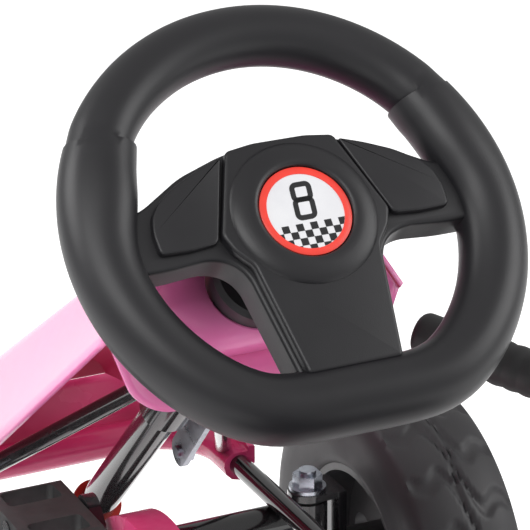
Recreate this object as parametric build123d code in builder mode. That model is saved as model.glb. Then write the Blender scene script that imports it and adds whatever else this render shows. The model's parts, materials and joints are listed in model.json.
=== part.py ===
from build123d import *
import os
from math import asin, atan2, cos, degrees, hypot, pi, radians, sin, sqrt, tan

# Pedal go kart for a child, an assembly of separate pieces, in millimetres.
# +X is forward, +Y is the driver's left and +Z is up.
# The origin is on the ground below the middle of the kart.

os.makedirs("parts", exist_ok=True)

# Overall sizes
kart_length = 1000.0
kart_width = 524.0
wheel_base = 690.0
nose_overhang = 145.0
hub_height = 535.0
hub_setback = 305.0
column_tilt = 45.0

# Wheels
tyre_radius = 130.0
tyre_width = 80.0
tyre_inner_radius = 74.0
tyre_wall = 8.0
rim_wall = 5.0
web_thickness = 8.0
wheel_hub_radius = 28.0
wheel_hub_length = 62.0
lightening_hole_radius = 12.0
lightening_hole_circle = 48.0
lightening_hole_count = 6
cap_wall = 3.0

# Clearances and plate gauges
running_gap = 0.06
washer_gap = 0.3
plate_gauge = 5.0

# Frame tubes
backbone_radius = 17.5
backbone_wall = 2.0
backbone_z = 160.0
beam_radius = 13.0
beam_wall = 2.0
beam_z = 177.5
side_tube_radius = 7.5
side_tube_wall = 1.5
side_tube_y = 124.0
side_tube_bend = 50.0
cross_tube_radius = 12.5
cross_tube_setback = 70.0
bracket_y = 131.8
stay_radius = 6.0

# Kingpins and knuckles
kingpin_y = 150.0
kingpin_radius = 6.0
kingpin_sleeve_radius = 14.0
kingpin_sleeve_length = 40.0
bush_radius = 8.0
bush_flange_radius = 12.0
bush_flange = 2.0
knuckle_plate_gap = 3.0
stub_radius = 7.0
steering_arm_length = 45.0
steering_arm_inset = 1.0
arm_hole_radius = 9.5
stud_lift = 3.0
stud_drop = 8.0
stud_nut_height = 6.0

# Steering column, measured down the column from the badge face
column_radius = 12.5
column_wall = 2.0
column_top = 36.0
column_bottom = 500.0
spigot_radius = 8.0
spigot_length = 30.0
collar_radius = 28.0
collar_top = 84.0
collar_length = 24.0
housing_radius = 17.0
housing_bottom = 285.0
ring_top = 456.0
ring_length = 6.0
socket_length = 36.0
bush_wall = 2.5
pitman_radius = 40.0
pitman_pin_offset = 14.0
pitman_pin_radius = 3.0

# Steering wheel, in its own plane
rim_centre_radius = 118.0
rim_section_radius = 18.0
rim_flat_height = 108.0
rim_depth = 17.0
core_front = 8.0
core_back = 30.0
boss_radius = 25.0
boss_back = 62.0
badge_radius = 27.0
badge_border = 4.2
bezel_radius = 42.0
badge_gap = 0.1

# Drive
crank_x = 190.0
crank_z = 210.0
crank_length = 85.0
crank_angle = 50.0
crank_axle_radius = 8.0
arm_y = 52.0
arm_thickness = 8.0
pedal_width = 50.0
pedal_length = 80.0
pedal_height = 16.0
pedal_spindle_radius = 6.0
shell_radius = 17.0
chain_y = 36.0
chain_pitch = 12.7
front_teeth = 28
rear_teeth = 14
sprocket_thickness = 3.0
chain_plate = 1.0
chain_inner_width = 3.8
chain_half_height = 4.5
case_width = 24.0
case_wall = 2.5
case_front_radius = 78.0
case_rear_radius = 45.0
rear_axle_radius = 8.0

# Seat
seat_width = 300.0
seat_wall = 6.0
seat_front_x = -140.0
seat_lift = 23.5
rail_width = 30.0
rail_height = 12.0
rail_length = 260.0
slider_wall = 3.0

# Handbrake
brake_pivot_x = -60.0
brake_pivot_z = 168.0
brake_shaft_radius = 6.0
brake_lever_y = -200.0
brake_grip_x = 112.0
brake_grip_y = -108.0
brake_grip_z = 417.0
brake_elbow_x = -25.0
brake_elbow_z = 392.0
brake_travel = 8.0
shoe_clearance = 1.0
shoe_angle = 45.0

# Fairing and front spoiler
fairing_top_half = 50.0
fairing_bottom_half = 95.0
fairing_depth = 76.0
fairing_wall = 3.5
fairing_slope = 33.8
spoiler_wall = 5.0
spoiler_radius = 12.0
spoiler_height = 57.0
fit_gap = 0.3

# Places worked out from the sizes above
front_axle_x = kart_length / 2 - nose_overhang
rear_axle_x = front_axle_x - wheel_base
axle_z = tyre_radius
wheel_y = (kart_width - tyre_width) / 2
hub_x = front_axle_x - hub_setback
tilt = radians(column_tilt)
column_down = Vector(cos(tilt), 0, -sin(tilt))
wheel_up = Vector(sin(tilt), 0, cos(tilt))
hub = Vector(hub_x, 0, hub_height)


def wheel_plane(depth):
    """Plane of the steering wheel, this far down the column: X to the right, Y up, Z to the driver."""
    return Plane(origin=hub + column_down * depth, x_dir=(0, -1, 0), z_dir=-column_down)


def column_point(depth):
    return hub + column_down * depth


def rod(start, end, radius, bore=0.0):
    """A straight round bar or tube from one point to another."""
    run = Vector(*end) - Vector(*start)
    with BuildPart() as bar:
        with BuildSketch(Plane(origin=start, z_dir=run)):
            Circle(radius)
            if bore:
                Circle(bore, mode=Mode.SUBTRACT)
        extrude(amount=run.length)
    return bar.part


def cross_plane(x, y, z):
    """A vertical plane that faces along Y, with its X forward and its Y up."""
    return Plane(origin=(x, y, z), x_dir=(1, 0, 0), z_dir=(0, -1, 0))


def hex_across(flats):
    return flats / sqrt(3)


# ---------------------------------------------------------------- frame

rear_tube_x = rear_axle_x - cross_tube_setback
shell_half = chain_y - case_width / 2 - washer_gap
brake_boss_end = brake_lever_y + 6 + washer_gap
rail_x = seat_front_x - rail_length
rail_bottom = backbone_z + sqrt(backbone_radius**2 - (rail_width / 2 - 5) ** 2)
rail_top = backbone_z + backbone_radius + rail_height

with BuildPart() as backbone:
    add(rod((rear_tube_x, 0, backbone_z), (front_axle_x - 4, 0, backbone_z), backbone_radius))
    with BuildSketch(Plane.XY.offset(backbone_z)):
        with Locations((crank_x, 0)):
            Rectangle(24, 24)
    extrude(amount=crank_z - backbone_z)
    add(rod((crank_x, -shell_half, crank_z), (crank_x, shell_half, crank_z), shell_radius))
    add(rod((brake_pivot_x, brake_boss_end, brake_pivot_z), (brake_pivot_x, 0, brake_pivot_z), 10))
    with BuildSketch(Plane.XY.offset(backbone_z)):
        with Locations((rail_x + rail_length / 2, 0)):
            Rectangle(rail_length, rail_width)
    extrude(amount=rail_top - backbone_z)
    add(rod((rear_tube_x - 20, 0, backbone_z), (front_axle_x, 0, backbone_z),
            backbone_radius - backbone_wall), mode=Mode.SUBTRACT)
    add(rod((crank_x, -60, crank_z), (crank_x, 60, crank_z), crank_axle_radius + running_gap),
        mode=Mode.SUBTRACT)
    add(rod((brake_pivot_x, brake_boss_end - 1, brake_pivot_z), (brake_pivot_x, 0, brake_pivot_z),
            brake_shaft_radius + running_gap), mode=Mode.SUBTRACT)
    add(rod((front_axle_x, -60, beam_z), (front_axle_x, 60, beam_z), beam_radius), mode=Mode.SUBTRACT)
    add(rod((rear_tube_x, -60, backbone_z), (rear_tube_x, 60, backbone_z), cross_tube_radius),
        mode=Mode.SUBTRACT)
backbone.part.label = "backbone"
export_step(backbone.part, "parts/backbone.step")

sleeve_top = beam_z + beam_radius + 0.5
sleeve_bottom = sleeve_top - kingpin_sleeve_length

with BuildPart() as front_beam:
    add(rod((front_axle_x, -kingpin_y, beam_z), (front_axle_x, kingpin_y, beam_z), beam_radius))
    add(rod((front_axle_x, -kingpin_y, beam_z), (front_axle_x, kingpin_y, beam_z),
            beam_radius - beam_wall), mode=Mode.SUBTRACT)
    for side in (-1, 1):
        add(rod((front_axle_x, side * kingpin_y, sleeve_bottom), (front_axle_x, side * kingpin_y, sleeve_top),
                kingpin_sleeve_radius))
        add(rod((front_axle_x, side * kingpin_y, sleeve_bottom - 1),
                (front_axle_x, side * kingpin_y, sleeve_top + 1), bush_radius), mode=Mode.SUBTRACT)
front_beam.part.label = "front_beam"
export_step(front_beam.part, "parts/front_beam.step")

bracket_outer = bracket_y + plate_gauge
bearing_radius = rear_axle_radius + bush_wall + 2.5
with BuildPart() as rear_frame:
    add(rod((rear_tube_x, -bracket_y, backbone_z), (rear_tube_x, bracket_y, backbone_z), cross_tube_radius))
    add(rod((rear_tube_x, -bracket_y, backbone_z), (rear_tube_x, bracket_y, backbone_z),
            cross_tube_radius - beam_wall), mode=Mode.SUBTRACT)
    for side in (-1, 1):
        with BuildSketch(cross_plane(0, side * (bracket_y + plate_gauge / 2), 0)):
            with BuildLine():
                Polyline((rear_tube_x - 18, backbone_z - 16), (rear_tube_x - 18, backbone_z + 16),
                         (rear_tube_x + 20, backbone_z + 16), (rear_axle_x + 22, axle_z + 18),
                         (rear_axle_x + 22, axle_z - 20), (rear_axle_x - 22, axle_z - 20), close=True)
            make_face()
            with Locations((rear_axle_x, axle_z)):
                Circle(bearing_radius, mode=Mode.SUBTRACT)
        extrude(amount=plate_gauge / 2, both=True)
rear_frame.part.label = "rear_frame"
export_step(rear_frame.part, "parts/rear_frame.step")

side_tube_z = beam_z + beam_radius + side_tube_radius
bumper_x = kart_length / 2 - spoiler_radius
side_kink_x = crank_x - crank_length - pedal_length / 2 - 25
bumper_bend_x = bumper_x - side_tube_bend

with BuildPart() as side_tube:
    with BuildLine() as side_path:
        FilletPolyline((rear_tube_x, side_tube_y, backbone_z), (side_kink_x, side_tube_y, side_tube_z),
                       (bumper_x, side_tube_y, side_tube_z), (bumper_x, -side_tube_y, side_tube_z),
                       (side_kink_x, -side_tube_y, side_tube_z), (rear_tube_x, -side_tube_y, backbone_z),
                       radius=side_tube_bend)
    with BuildSketch(Plane(origin=side_path.line @ 0, z_dir=side_path.line % 0)):
        Circle(side_tube_radius)
        Circle(side_tube_radius - side_tube_wall, mode=Mode.SUBTRACT)
    sweep()
    add(rod((rear_tube_x, -kart_width / 2, backbone_z), (rear_tube_x, kart_width / 2, backbone_z),
            cross_tube_radius), mode=Mode.SUBTRACT)
side_tube.part.label = "side_tube"
export_step(side_tube.part, "parts/side_tube.step")

# ---------------------------------------------------------------- column supports

with BuildPart() as column_housing:
    add(rod(column_point(collar_top + collar_length), column_point(housing_bottom), housing_radius,
            column_radius + running_gap))
column_housing.part.label = "column_housing"
export_step(column_housing.part, "parts/column_housing.step")

with BuildPart() as column_collar:
    with BuildSketch(wheel_plane(collar_top + collar_length)):
        Circle(collar_radius)
        Circle(column_radius + running_gap, mode=Mode.SUBTRACT)
    extrude(amount=collar_length)
    chamfer(column_collar.edges().filter_by(GeomType.CIRCLE).group_by(SortBy.RADIUS)[-1], 3)
column_collar.part.label = "column_collar"
export_step(column_collar.part, "parts/column_collar.step")

socket_top = ring_top + ring_length
socket_bore = column_radius + bush_wall
with BuildPart() as column_ring:
    add(rod(column_point(ring_top), column_point(socket_top), housing_radius, column_radius + running_gap))
    add(rod(column_point(socket_top), column_point(socket_top + socket_length), socket_bore,
            column_radius + running_gap))
column_ring.part.label = "column_ring"
export_step(column_ring.part, "parts/column_ring.step")

gusset_top = column_point(socket_top + 4)
gusset_low = column_point(socket_top + socket_length - 4)
with BuildPart() as column_socket:
    add(rod(column_point(socket_top), column_point(socket_top + socket_length), housing_radius))
    for side in (-1, 1):
        with BuildSketch(cross_plane(0, side * 10, 0)):
            with BuildLine():
                Polyline((gusset_top.X, gusset_top.Z), (gusset_low.X, gusset_low.Z),
                         (front_axle_x, beam_z), close=True)
            make_face()
        extrude(amount=2, both=True)
    add(rod(column_point(socket_top - 1), column_point(socket_top + socket_length + 1), socket_bore),
        mode=Mode.SUBTRACT)
    add(rod((front_axle_x, -60, beam_z), (front_axle_x, 60, beam_z), beam_radius), mode=Mode.SUBTRACT)
column_socket.part.label = "column_socket"
export_step(column_socket.part, "parts/column_socket.step")

stay_top = column_point(216)
stay_sites = ((1, "left_stay"), (-1, "right_stay"))


def stay_rod(side, radius):
    return rod((stay_top.X, side * 12, stay_top.Z), (bumper_bend_x, side * side_tube_y, side_tube_z), radius)


for side, name in stay_sites:
    with BuildPart() as stay:
        add(stay_rod(side, stay_radius))
        add(rod(column_point(150), column_point(housing_bottom), housing_radius), mode=Mode.SUBTRACT)
        add(rod((front_axle_x, side * side_tube_y, side_tube_z), (bumper_x, side * side_tube_y, side_tube_z),
                side_tube_radius), mode=Mode.SUBTRACT)
    stay.part.label = name
    export_step(stay.part, f"parts/{name}.step")

strap_y = -(housing_radius + 2)
strap_top = column_point(265) - wheel_up * 12
strap_low = column_point(330) - wheel_up * 16
strap_run = strap_low - strap_top
with BuildPart() as fairing_bracket:
    with BuildSketch(cross_plane(0, strap_y, 0)):
        with Locations(((strap_top.X + strap_low.X) / 2, (strap_top.Z + strap_low.Z) / 2)):
            SlotCenterToCenter(strap_run.length, 20, rotation=degrees(atan2(strap_run.Z, strap_run.X)))
        with Locations((strap_low.X, strap_low.Z)):
            Circle(4, mode=Mode.SUBTRACT)
    extrude(amount=2, both=True)
fairing_bracket.part.label = "fairing_bracket"
export_step(fairing_bracket.part, "parts/fairing_bracket.step")

# ---------------------------------------------------------------- bushes

bearing_half = plate_gauge / 2 + 3
with BuildPart() as frame_bushes:
    for side in (-1, 1):
        for face, way in ((sleeve_bottom, 1), (sleeve_top, -1)):
            add(rod((front_axle_x, side * kingpin_y, face - way * bush_flange),
                    (front_axle_x, side * kingpin_y, face), bush_flange_radius))
            add(rod((front_axle_x, side * kingpin_y, face),
                    (front_axle_x, side * kingpin_y, face + way * 14), bush_radius))
        add(rod((front_axle_x, side * kingpin_y, sleeve_bottom - 5),
                (front_axle_x, side * kingpin_y, sleeve_top + 5), kingpin_radius + running_gap),
            mode=Mode.SUBTRACT)
        middle = side * (bracket_y + plate_gauge / 2)
        add(rod((rear_axle_x, middle - bearing_half, axle_z), (rear_axle_x, middle + bearing_half, axle_z),
                bearing_radius, rear_axle_radius + running_gap))
frame_bushes.part.label = "frame_bushes"
export_step(frame_bushes.part, "parts/frame_bushes.step")

# ---------------------------------------------------------------- steering wheel

corner = sqrt(rim_centre_radius**2 - rim_flat_height**2)
rim_middle = column_point(rim_depth)
flat_ends = [rim_middle - wheel_up * rim_flat_height + Vector(0, way * corner, 0) for way in (1, -1)]
with BuildPart() as wheel_rim:
    with BuildSketch(Plane(origin=rim_middle, x_dir=(0, 1, 0), z_dir=wheel_up)):
        with Locations((rim_centre_radius, 0)):
            Circle(rim_section_radius)
    revolve(axis=Axis(rim_middle, column_down))
    with BuildSketch(wheel_plane(rim_depth)):
        with Locations((0, -rim_flat_height - 40)):
            Rectangle(200, 80)
    extrude(amount=60, both=True, mode=Mode.SUBTRACT)
    add(rod(flat_ends[0], flat_ends[1], rim_section_radius))
    with Locations(*flat_ends):
        Sphere(rim_section_radius - 0.2)
    with BuildSketch(wheel_plane(core_back)):
        with BuildLine():
            Polyline((-106, 16), (-36, 46), (36, 46), (106, 16), (106, -16), (50, -14), (38, -26), (27, -106),
                     (-27, -106), (-38, -26), (-50, -14), (-106, -16), close=True)
        make_face()
    extrude(amount=core_back - core_front)
    add(rod(column_point(core_back - 1), column_point(boss_back), boss_radius))
    add(rod(column_point(column_top - 2), column_point(boss_back + 1), column_radius), mode=Mode.SUBTRACT)
wheel_rim.part.label = "wheel_rim"
export_step(wheel_rim.part, "parts/wheel_rim.step")

cover_front = 2.0
badge_seat = 1.0
with BuildPart() as centre_cover:
    with BuildSketch(wheel_plane(core_front)):
        with BuildLine():
            Polyline((-32, 45), (32, 45), (50, -6), (38, -22), (27, -88), (-27, -88), (-38, -22), (-50, -6),
                     close=True)
        make_face()
    extrude(amount=core_front - cover_front)
    with BuildSketch(wheel_plane(cover_front)):
        Circle(bezel_radius)
    extrude(amount=cover_front + 1)
    with BuildSketch(wheel_plane(badge_seat)):
        Circle(badge_radius + badge_gap)
    extrude(amount=5, mode=Mode.SUBTRACT)
centre_cover.part.label = "centre_cover"
export_step(centre_cover.part, "parts/centre_cover.step")

for side, name in ((-1, "spoke_panel_left"), (1, "spoke_panel_right")):
    with BuildPart() as spoke_panel:
        with BuildSketch(wheel_plane(core_front)):
            with BuildLine():
                Polyline((side * 33, 44), (side * 84, 22), (side * 91, 8), (side * 90, -10), (side * 52, -8),
                         close=True)
            make_face()
        extrude(amount=5)
    spoke_panel.part.label = name
    export_step(spoke_panel.part, f"parts/{name}.step")

with BuildPart() as badge_ring:
    with BuildSketch(wheel_plane(badge_seat)):
        Circle(badge_radius)
        Circle(badge_radius - badge_border, mode=Mode.SUBTRACT)
    extrude(amount=1.4)
badge_ring.part.label = "badge_ring"
export_step(badge_ring.part, "parts/badge_ring.step")

with BuildPart() as badge_disc:
    with BuildSketch(wheel_plane(badge_seat)):
        Circle(badge_radius - badge_border - badge_gap)
    extrude(amount=1.4)
badge_disc.part.label = "badge_disc"
export_step(badge_disc.part, "parts/badge_disc.step")

# ---------------------------------------------------------------- column and pitman arm

with BuildPart() as steering_column:
    add(rod(column_point(column_top), column_point(column_bottom), column_radius,
            column_radius - column_wall))
    add(rod(column_point(column_bottom - 20), column_point(column_bottom), column_radius))
    add(rod(column_point(column_bottom), column_point(column_bottom + spigot_length), spigot_radius))
steering_column.part.label = "steering_column"
export_step(steering_column.part, "parts/steering_column.step")

rod_eye_height = 8.0
rod_eye_radius = 8.0
pitman_top = column_bottom + rod_eye_height + 2
pitman_low = pitman_top + plate_gauge
pin_sites = ((-pitman_pin_offset, -pitman_radius), (pitman_pin_offset, -pitman_radius))
with BuildPart() as pitman_arm:
    with BuildSketch(wheel_plane(pitman_low)):
        with BuildLine():
            Polyline((-13, 12), (13, 12), (23, -34), (20, -49), (-20, -49), (-23, -34), close=True)
        make_face()
        Circle(spigot_radius, mode=Mode.SUBTRACT)
        with Locations(*pin_sites):
            Circle(pitman_pin_radius, mode=Mode.SUBTRACT)
    extrude(amount=plate_gauge)
pitman_arm.part.label = "pitman_arm"
export_step(pitman_arm.part, "parts/pitman_arm.step")

with BuildPart() as steering_bolts:
    for across, up in pin_sites:
        pin_foot = column_point(pitman_low + 5) + Vector(0, -across, 0) + wheel_up * up
        pin_head = column_point(column_bottom - 2) + Vector(0, -across, 0) + wheel_up * up
        add(rod(pin_foot, pin_head, pitman_pin_radius))
        with BuildSketch(Plane(origin=pin_head, x_dir=(0, -1, 0), z_dir=-column_down)):
            RegularPolygon(hex_across(10), 6)
        extrude(amount=4)
        with BuildSketch(Plane(origin=pin_foot, x_dir=(0, -1, 0), z_dir=-column_down)):
            RegularPolygon(hex_across(10), 6)
        extrude(amount=5)
    with BuildSketch(wheel_plane(pitman_low + 8)):
        RegularPolygon(hex_across(24), 6)
        Circle(spigot_radius, mode=Mode.SUBTRACT)
    extrude(amount=8)
    add(rod(column_point(boss_back - 10) + Vector(0, -boss_radius - 3, 0),
            column_point(boss_back - 10) + Vector(0, -boss_radius, 0), 6))
steering_bolts.part.label = "steering_bolts"
export_step(steering_bolts.part, "parts/steering_bolts.step")

# ---------------------------------------------------------------- knuckles, kingpins and tie rods

top_plate_bottom = sleeve_top + bush_flange + washer_gap
top_plate_top = top_plate_bottom + plate_gauge
low_plate_top = sleeve_bottom - bush_flange - washer_gap
low_plate_bottom = low_plate_top - plate_gauge
upright_inner = kingpin_y + kingpin_sleeve_radius + knuckle_plate_gap
upright_outer = upright_inner + plate_gauge + 1
stub_end = kart_width / 2 - 8
arm_pin_x = front_axle_x - steering_arm_length
arm_pin_y = kingpin_y - steering_arm_inset
eye_bottom = low_plate_top + stud_lift
stud_end = low_plate_bottom - stud_drop - stud_nut_height
eye_middle = eye_bottom + rod_eye_height / 2
nut_height = 12.0
nut_flats = 18.0
axle_nut = 7.0
inner_face = wheel_y - tyre_width / 2
outer_face = wheel_y + tyre_width / 2
hub_in = inner_face - 2
hub_out = hub_in + wheel_hub_length

for side, hand in ((1, "left"), (-1, "right")):
    with BuildPart() as knuckle:
        for bottom in (low_plate_bottom, top_plate_bottom):
            with BuildSketch(Plane.XY.offset(bottom)):
                with Locations((front_axle_x, side * kingpin_y)):
                    Circle(kingpin_sleeve_radius)
                with Locations((front_axle_x, side * (kingpin_y + upright_outer) / 2)):
                    Rectangle(2 * kingpin_sleeve_radius, upright_outer - kingpin_y)
            extrude(amount=plate_gauge)
        with BuildSketch(Plane.XY.offset(low_plate_bottom)):
            with BuildLine():
                Polyline((front_axle_x, side * (kingpin_y + 12)), (front_axle_x, side * (kingpin_y - 12)),
                         (arm_pin_x, side * (arm_pin_y - 10)), (arm_pin_x, side * (arm_pin_y + 10)), close=True)
            make_face()
            with Locations((arm_pin_x, side * arm_pin_y)):
                Circle(arm_hole_radius + 4.5)
        extrude(amount=plate_gauge)
        with BuildSketch(Plane.XY.offset(axle_z - 14)):
            with Locations((front_axle_x, side * (upright_inner + upright_outer) / 2)):
                Rectangle(30, upright_outer - upright_inner)
        extrude(amount=top_plate_top - axle_z + 14)
        add(rod((front_axle_x, side * (upright_outer - 1), axle_z), (front_axle_x, side * stub_end, axle_z),
                stub_radius))
        add(rod((front_axle_x, side * (upright_outer - 1), axle_z),
                (front_axle_x, side * (hub_in - washer_gap), axle_z), 11))
        with BuildSketch(Plane(origin=(front_axle_x, side * (hub_out + washer_gap), axle_z),
                               x_dir=(1, 0, 0), z_dir=(0, side, 0))):
            RegularPolygon(hex_across(nut_flats), 6)
        extrude(amount=axle_nut)
        add(rod((front_axle_x, side * kingpin_y, low_plate_bottom - 5),
                (front_axle_x, side * kingpin_y, top_plate_top + 5), kingpin_radius), mode=Mode.SUBTRACT)
        add(rod((arm_pin_x, side * arm_pin_y, low_plate_bottom - 5),
                (arm_pin_x, side * arm_pin_y, low_plate_top + 5), arm_hole_radius), mode=Mode.SUBTRACT)
    knuckle.part.label = f"{hand}_knuckle"
    export_step(knuckle.part, f"parts/{hand}_knuckle.step")

    with BuildPart() as kingpin:
        add(rod((front_axle_x, side * kingpin_y, low_plate_bottom),
                (front_axle_x, side * kingpin_y, top_plate_top + nut_height + 3), kingpin_radius))
        with BuildSketch(Plane.XY.offset(low_plate_bottom - 8)):
            with Locations((front_axle_x, side * kingpin_y)):
                RegularPolygon(hex_across(nut_flats), 6)
        extrude(amount=8)
        with BuildSketch(Plane.XY.offset(top_plate_top)):
            with Locations((front_axle_x, side * kingpin_y)):
                RegularPolygon(hex_across(nut_flats), 6)
        extrude(amount=nut_height)
        with BuildSketch(Plane.XY.offset(top_plate_top)):
            with Locations((front_axle_x, side * kingpin_y)):
                Circle(13)
        extrude(amount=3)
    kingpin.part.label = f"{hand}_kingpin"
    export_step(kingpin.part, f"parts/{hand}_kingpin.step")

    inner_eye = column_point(column_bottom + 1 + rod_eye_height / 2) - wheel_up * pitman_radius
    inner_eye = inner_eye + Vector(0, side * pitman_pin_offset, 0)
    outer_eye = Vector(arm_pin_x, side * arm_pin_y, eye_middle)
    with BuildPart() as tie_rod:
        add(rod(inner_eye, outer_eye, 4))
        add(rod(inner_eye - column_down * rod_eye_height / 2, inner_eye + column_down * rod_eye_height / 2,
                rod_eye_radius))
        add(rod((arm_pin_x, side * arm_pin_y, eye_bottom),
                (arm_pin_x, side * arm_pin_y, eye_bottom + rod_eye_height), rod_eye_radius))
        add(rod((arm_pin_x, side * arm_pin_y, stud_end), (arm_pin_x, side * arm_pin_y, eye_bottom), 3))
        add(rod((arm_pin_x, side * arm_pin_y, stud_end),
                (arm_pin_x, side * arm_pin_y, stud_end + stud_nut_height), arm_hole_radius + 2))
        add(rod(inner_eye - column_down * 20, inner_eye + column_down * 20, pitman_pin_radius + running_gap),
            mode=Mode.SUBTRACT)
    tie_rod.part.label = f"{hand}_tie_rod"
    export_step(tie_rod.part, f"parts/{hand}_tie_rod.step")

# ---------------------------------------------------------------- wheels

rim_inset = 4.0
bead_width = 14.0


def wheel_section(x, side):
    """Half section of a wheel: its X runs outboard along the axle, its Y is the radius."""
    return Plane(origin=(x, 0, axle_z), x_dir=(0, side, 0), z_dir=(side, 0, 0))


wheels = (
    ("front_left", front_axle_x, 1, stub_radius + running_gap),
    ("front_right", front_axle_x, -1, stub_radius + running_gap),
    ("rear_left", rear_axle_x, 1, rear_axle_radius),
    ("rear_right", rear_axle_x, -1, rear_axle_radius + running_gap),
)
for corner_name, x, side, bore in wheels:
    spin_axis = Axis((x, 0, axle_z), (0, 1, 0))
    with BuildPart() as tyre:
        with BuildSketch(wheel_section(x, side)):
            with BuildLine():
                Polyline((inner_face + rim_inset, tyre_inner_radius), (inner_face, tyre_inner_radius + 8),
                         (inner_face, tyre_radius - 18), (inner_face + 8, tyre_radius - 5),
                         (inner_face + 20, tyre_radius), (outer_face - 20, tyre_radius),
                         (outer_face - 8, tyre_radius - 5), (outer_face, tyre_radius - 18),
                         (outer_face, tyre_inner_radius + 8), (outer_face - rim_inset, tyre_inner_radius),
                         (outer_face - bead_width, tyre_inner_radius),
                         (outer_face - tyre_wall, tyre_inner_radius + 12),
                         (outer_face - tyre_wall, tyre_radius - 21), (outer_face - 14, tyre_radius - 12),
                         (outer_face - 22, tyre_radius - tyre_wall), (inner_face + 22, tyre_radius - tyre_wall),
                         (inner_face + 14, tyre_radius - 12), (inner_face + tyre_wall, tyre_radius - 21),
                         (inner_face + tyre_wall, tyre_inner_radius + 12),
                         (inner_face + bead_width, tyre_inner_radius), close=True)
            make_face()
        revolve(axis=spin_axis)
    tyre.part.label = f"{corner_name}_tyre"
    export_step(tyre.part, f"parts/{corner_name}_tyre.step")

    barrel_in = inner_face + rim_inset
    barrel_out = outer_face - rim_inset
    with BuildPart() as rim:
        with BuildSketch(wheel_section(x, side)):
            with Locations(((barrel_in + barrel_out) / 2, tyre_inner_radius - rim_wall / 2)):
                Rectangle(barrel_out - barrel_in, rim_wall)
            with Locations((wheel_y, (wheel_hub_radius + tyre_inner_radius - rim_wall) / 2)):
                Rectangle(web_thickness, tyre_inner_radius - rim_wall - wheel_hub_radius + 2)
            with Locations(((hub_in + hub_out) / 2, (bore + wheel_hub_radius) / 2)):
                Rectangle(wheel_hub_length, wheel_hub_radius - bore)
        revolve(axis=spin_axis)
        with BuildSketch(Plane(origin=(x, side * (wheel_y - web_thickness), axle_z), x_dir=(1, 0, 0),
                               z_dir=(0, side, 0))):
            with PolarLocations(lightening_hole_circle, lightening_hole_count):
                Circle(lightening_hole_radius)
        extrude(amount=2 * web_thickness, mode=Mode.SUBTRACT)
    rim.part.label = f"{corner_name}_rim"
    export_step(rim.part, f"parts/{corner_name}_rim.step")

    with BuildPart() as cap:
        with BuildSketch(wheel_section(x, side)):
            with BuildLine():
                Polyline((hub_out, wheel_hub_radius - cap_wall), (hub_out, wheel_hub_radius + 2),
                         (outer_face - 6, wheel_hub_radius - 2), (outer_face, wheel_hub_radius - 10),
                         (outer_face, 0), (outer_face - cap_wall, 0),
                         (outer_face - cap_wall, wheel_hub_radius - 12), (outer_face - 8, wheel_hub_radius - 5),
                         close=True)
            make_face()
        revolve(axis=spin_axis)
    cap.part.label = f"{corner_name}_cap"
    export_step(cap.part, f"parts/{corner_name}_cap.step")

# ---------------------------------------------------------------- rear axle and chain drive

axle_end = outer_face - cap_wall - 2
with BuildPart() as rear_axle:
    add(rod((rear_axle_x, -axle_end, axle_z), (rear_axle_x, axle_end, axle_z), rear_axle_radius))
    for side, hub_gap in ((1, 0), (-1, washer_gap)):
        stop = side * (bracket_y + plate_gauge / 2 - bearing_half - washer_gap)
        add(rod((rear_axle_x, stop, axle_z), (rear_axle_x, stop - side * 8, axle_z), bearing_radius))
        add(rod((rear_axle_x, side * (bracket_y + plate_gauge / 2 + bearing_half + washer_gap), axle_z),
                (rear_axle_x, side * (hub_in - hub_gap), axle_z), 11))
        with BuildSketch(Plane(origin=(rear_axle_x, side * (hub_out + washer_gap), axle_z),
                               x_dir=(1, 0, 0), z_dir=(0, side, 0))):
            RegularPolygon(hex_across(nut_flats), 6)
        extrude(amount=axle_nut)
rear_axle.part.label = "rear_axle"
export_step(rear_axle.part, "parts/rear_axle.step")


def pitch_radius(teeth):
    return chain_pitch / (2 * sin(pi / teeth))


front_pitch = pitch_radius(front_teeth)
rear_pitch = pitch_radius(rear_teeth)
roller_radius = 4.0


def sprocket_disc(x, z, teeth, bore):
    """A chain wheel in the chain's plane, with a gap for a roller at each tooth."""
    with BuildPart() as disc:
        with BuildSketch(cross_plane(x, chain_y + sprocket_thickness / 2, z)):
            Circle(pitch_radius(teeth) + 3)
            Circle(bore, mode=Mode.SUBTRACT)
            with PolarLocations(pitch_radius(teeth), teeth):
                Circle(roller_radius, mode=Mode.SUBTRACT)
        extrude(amount=sprocket_thickness)
    return disc.part


hub_disc_radius = 18.0
with BuildPart() as front_sprocket:
    add(sprocket_disc(crank_x, crank_z, front_teeth, crank_axle_radius))
    with BuildSketch(cross_plane(crank_x, chain_y + 10, crank_z)):
        Circle(hub_disc_radius - 4)
        Circle(crank_axle_radius, mode=Mode.SUBTRACT)
    extrude(amount=10)
    with BuildSketch(cross_plane(crank_x, chain_y + 5, crank_z)):
        with PolarLocations(front_pitch * 0.62, 5):
            Circle(9)
    extrude(amount=10, mode=Mode.SUBTRACT)
front_sprocket.part.label = "front_sprocket"
export_step(front_sprocket.part, "parts/front_sprocket.step")

with BuildPart() as rear_sprocket:
    add(sprocket_disc(rear_axle_x, axle_z, rear_teeth, rear_axle_radius))
    with BuildSketch(cross_plane(rear_axle_x, chain_y + 10, axle_z)):
        Circle(hub_disc_radius - 4)
        Circle(rear_axle_radius, mode=Mode.SUBTRACT)
    extrude(amount=10)
rear_sprocket.part.label = "rear_sprocket"
export_step(rear_sprocket.part, "parts/rear_sprocket.step")


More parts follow.
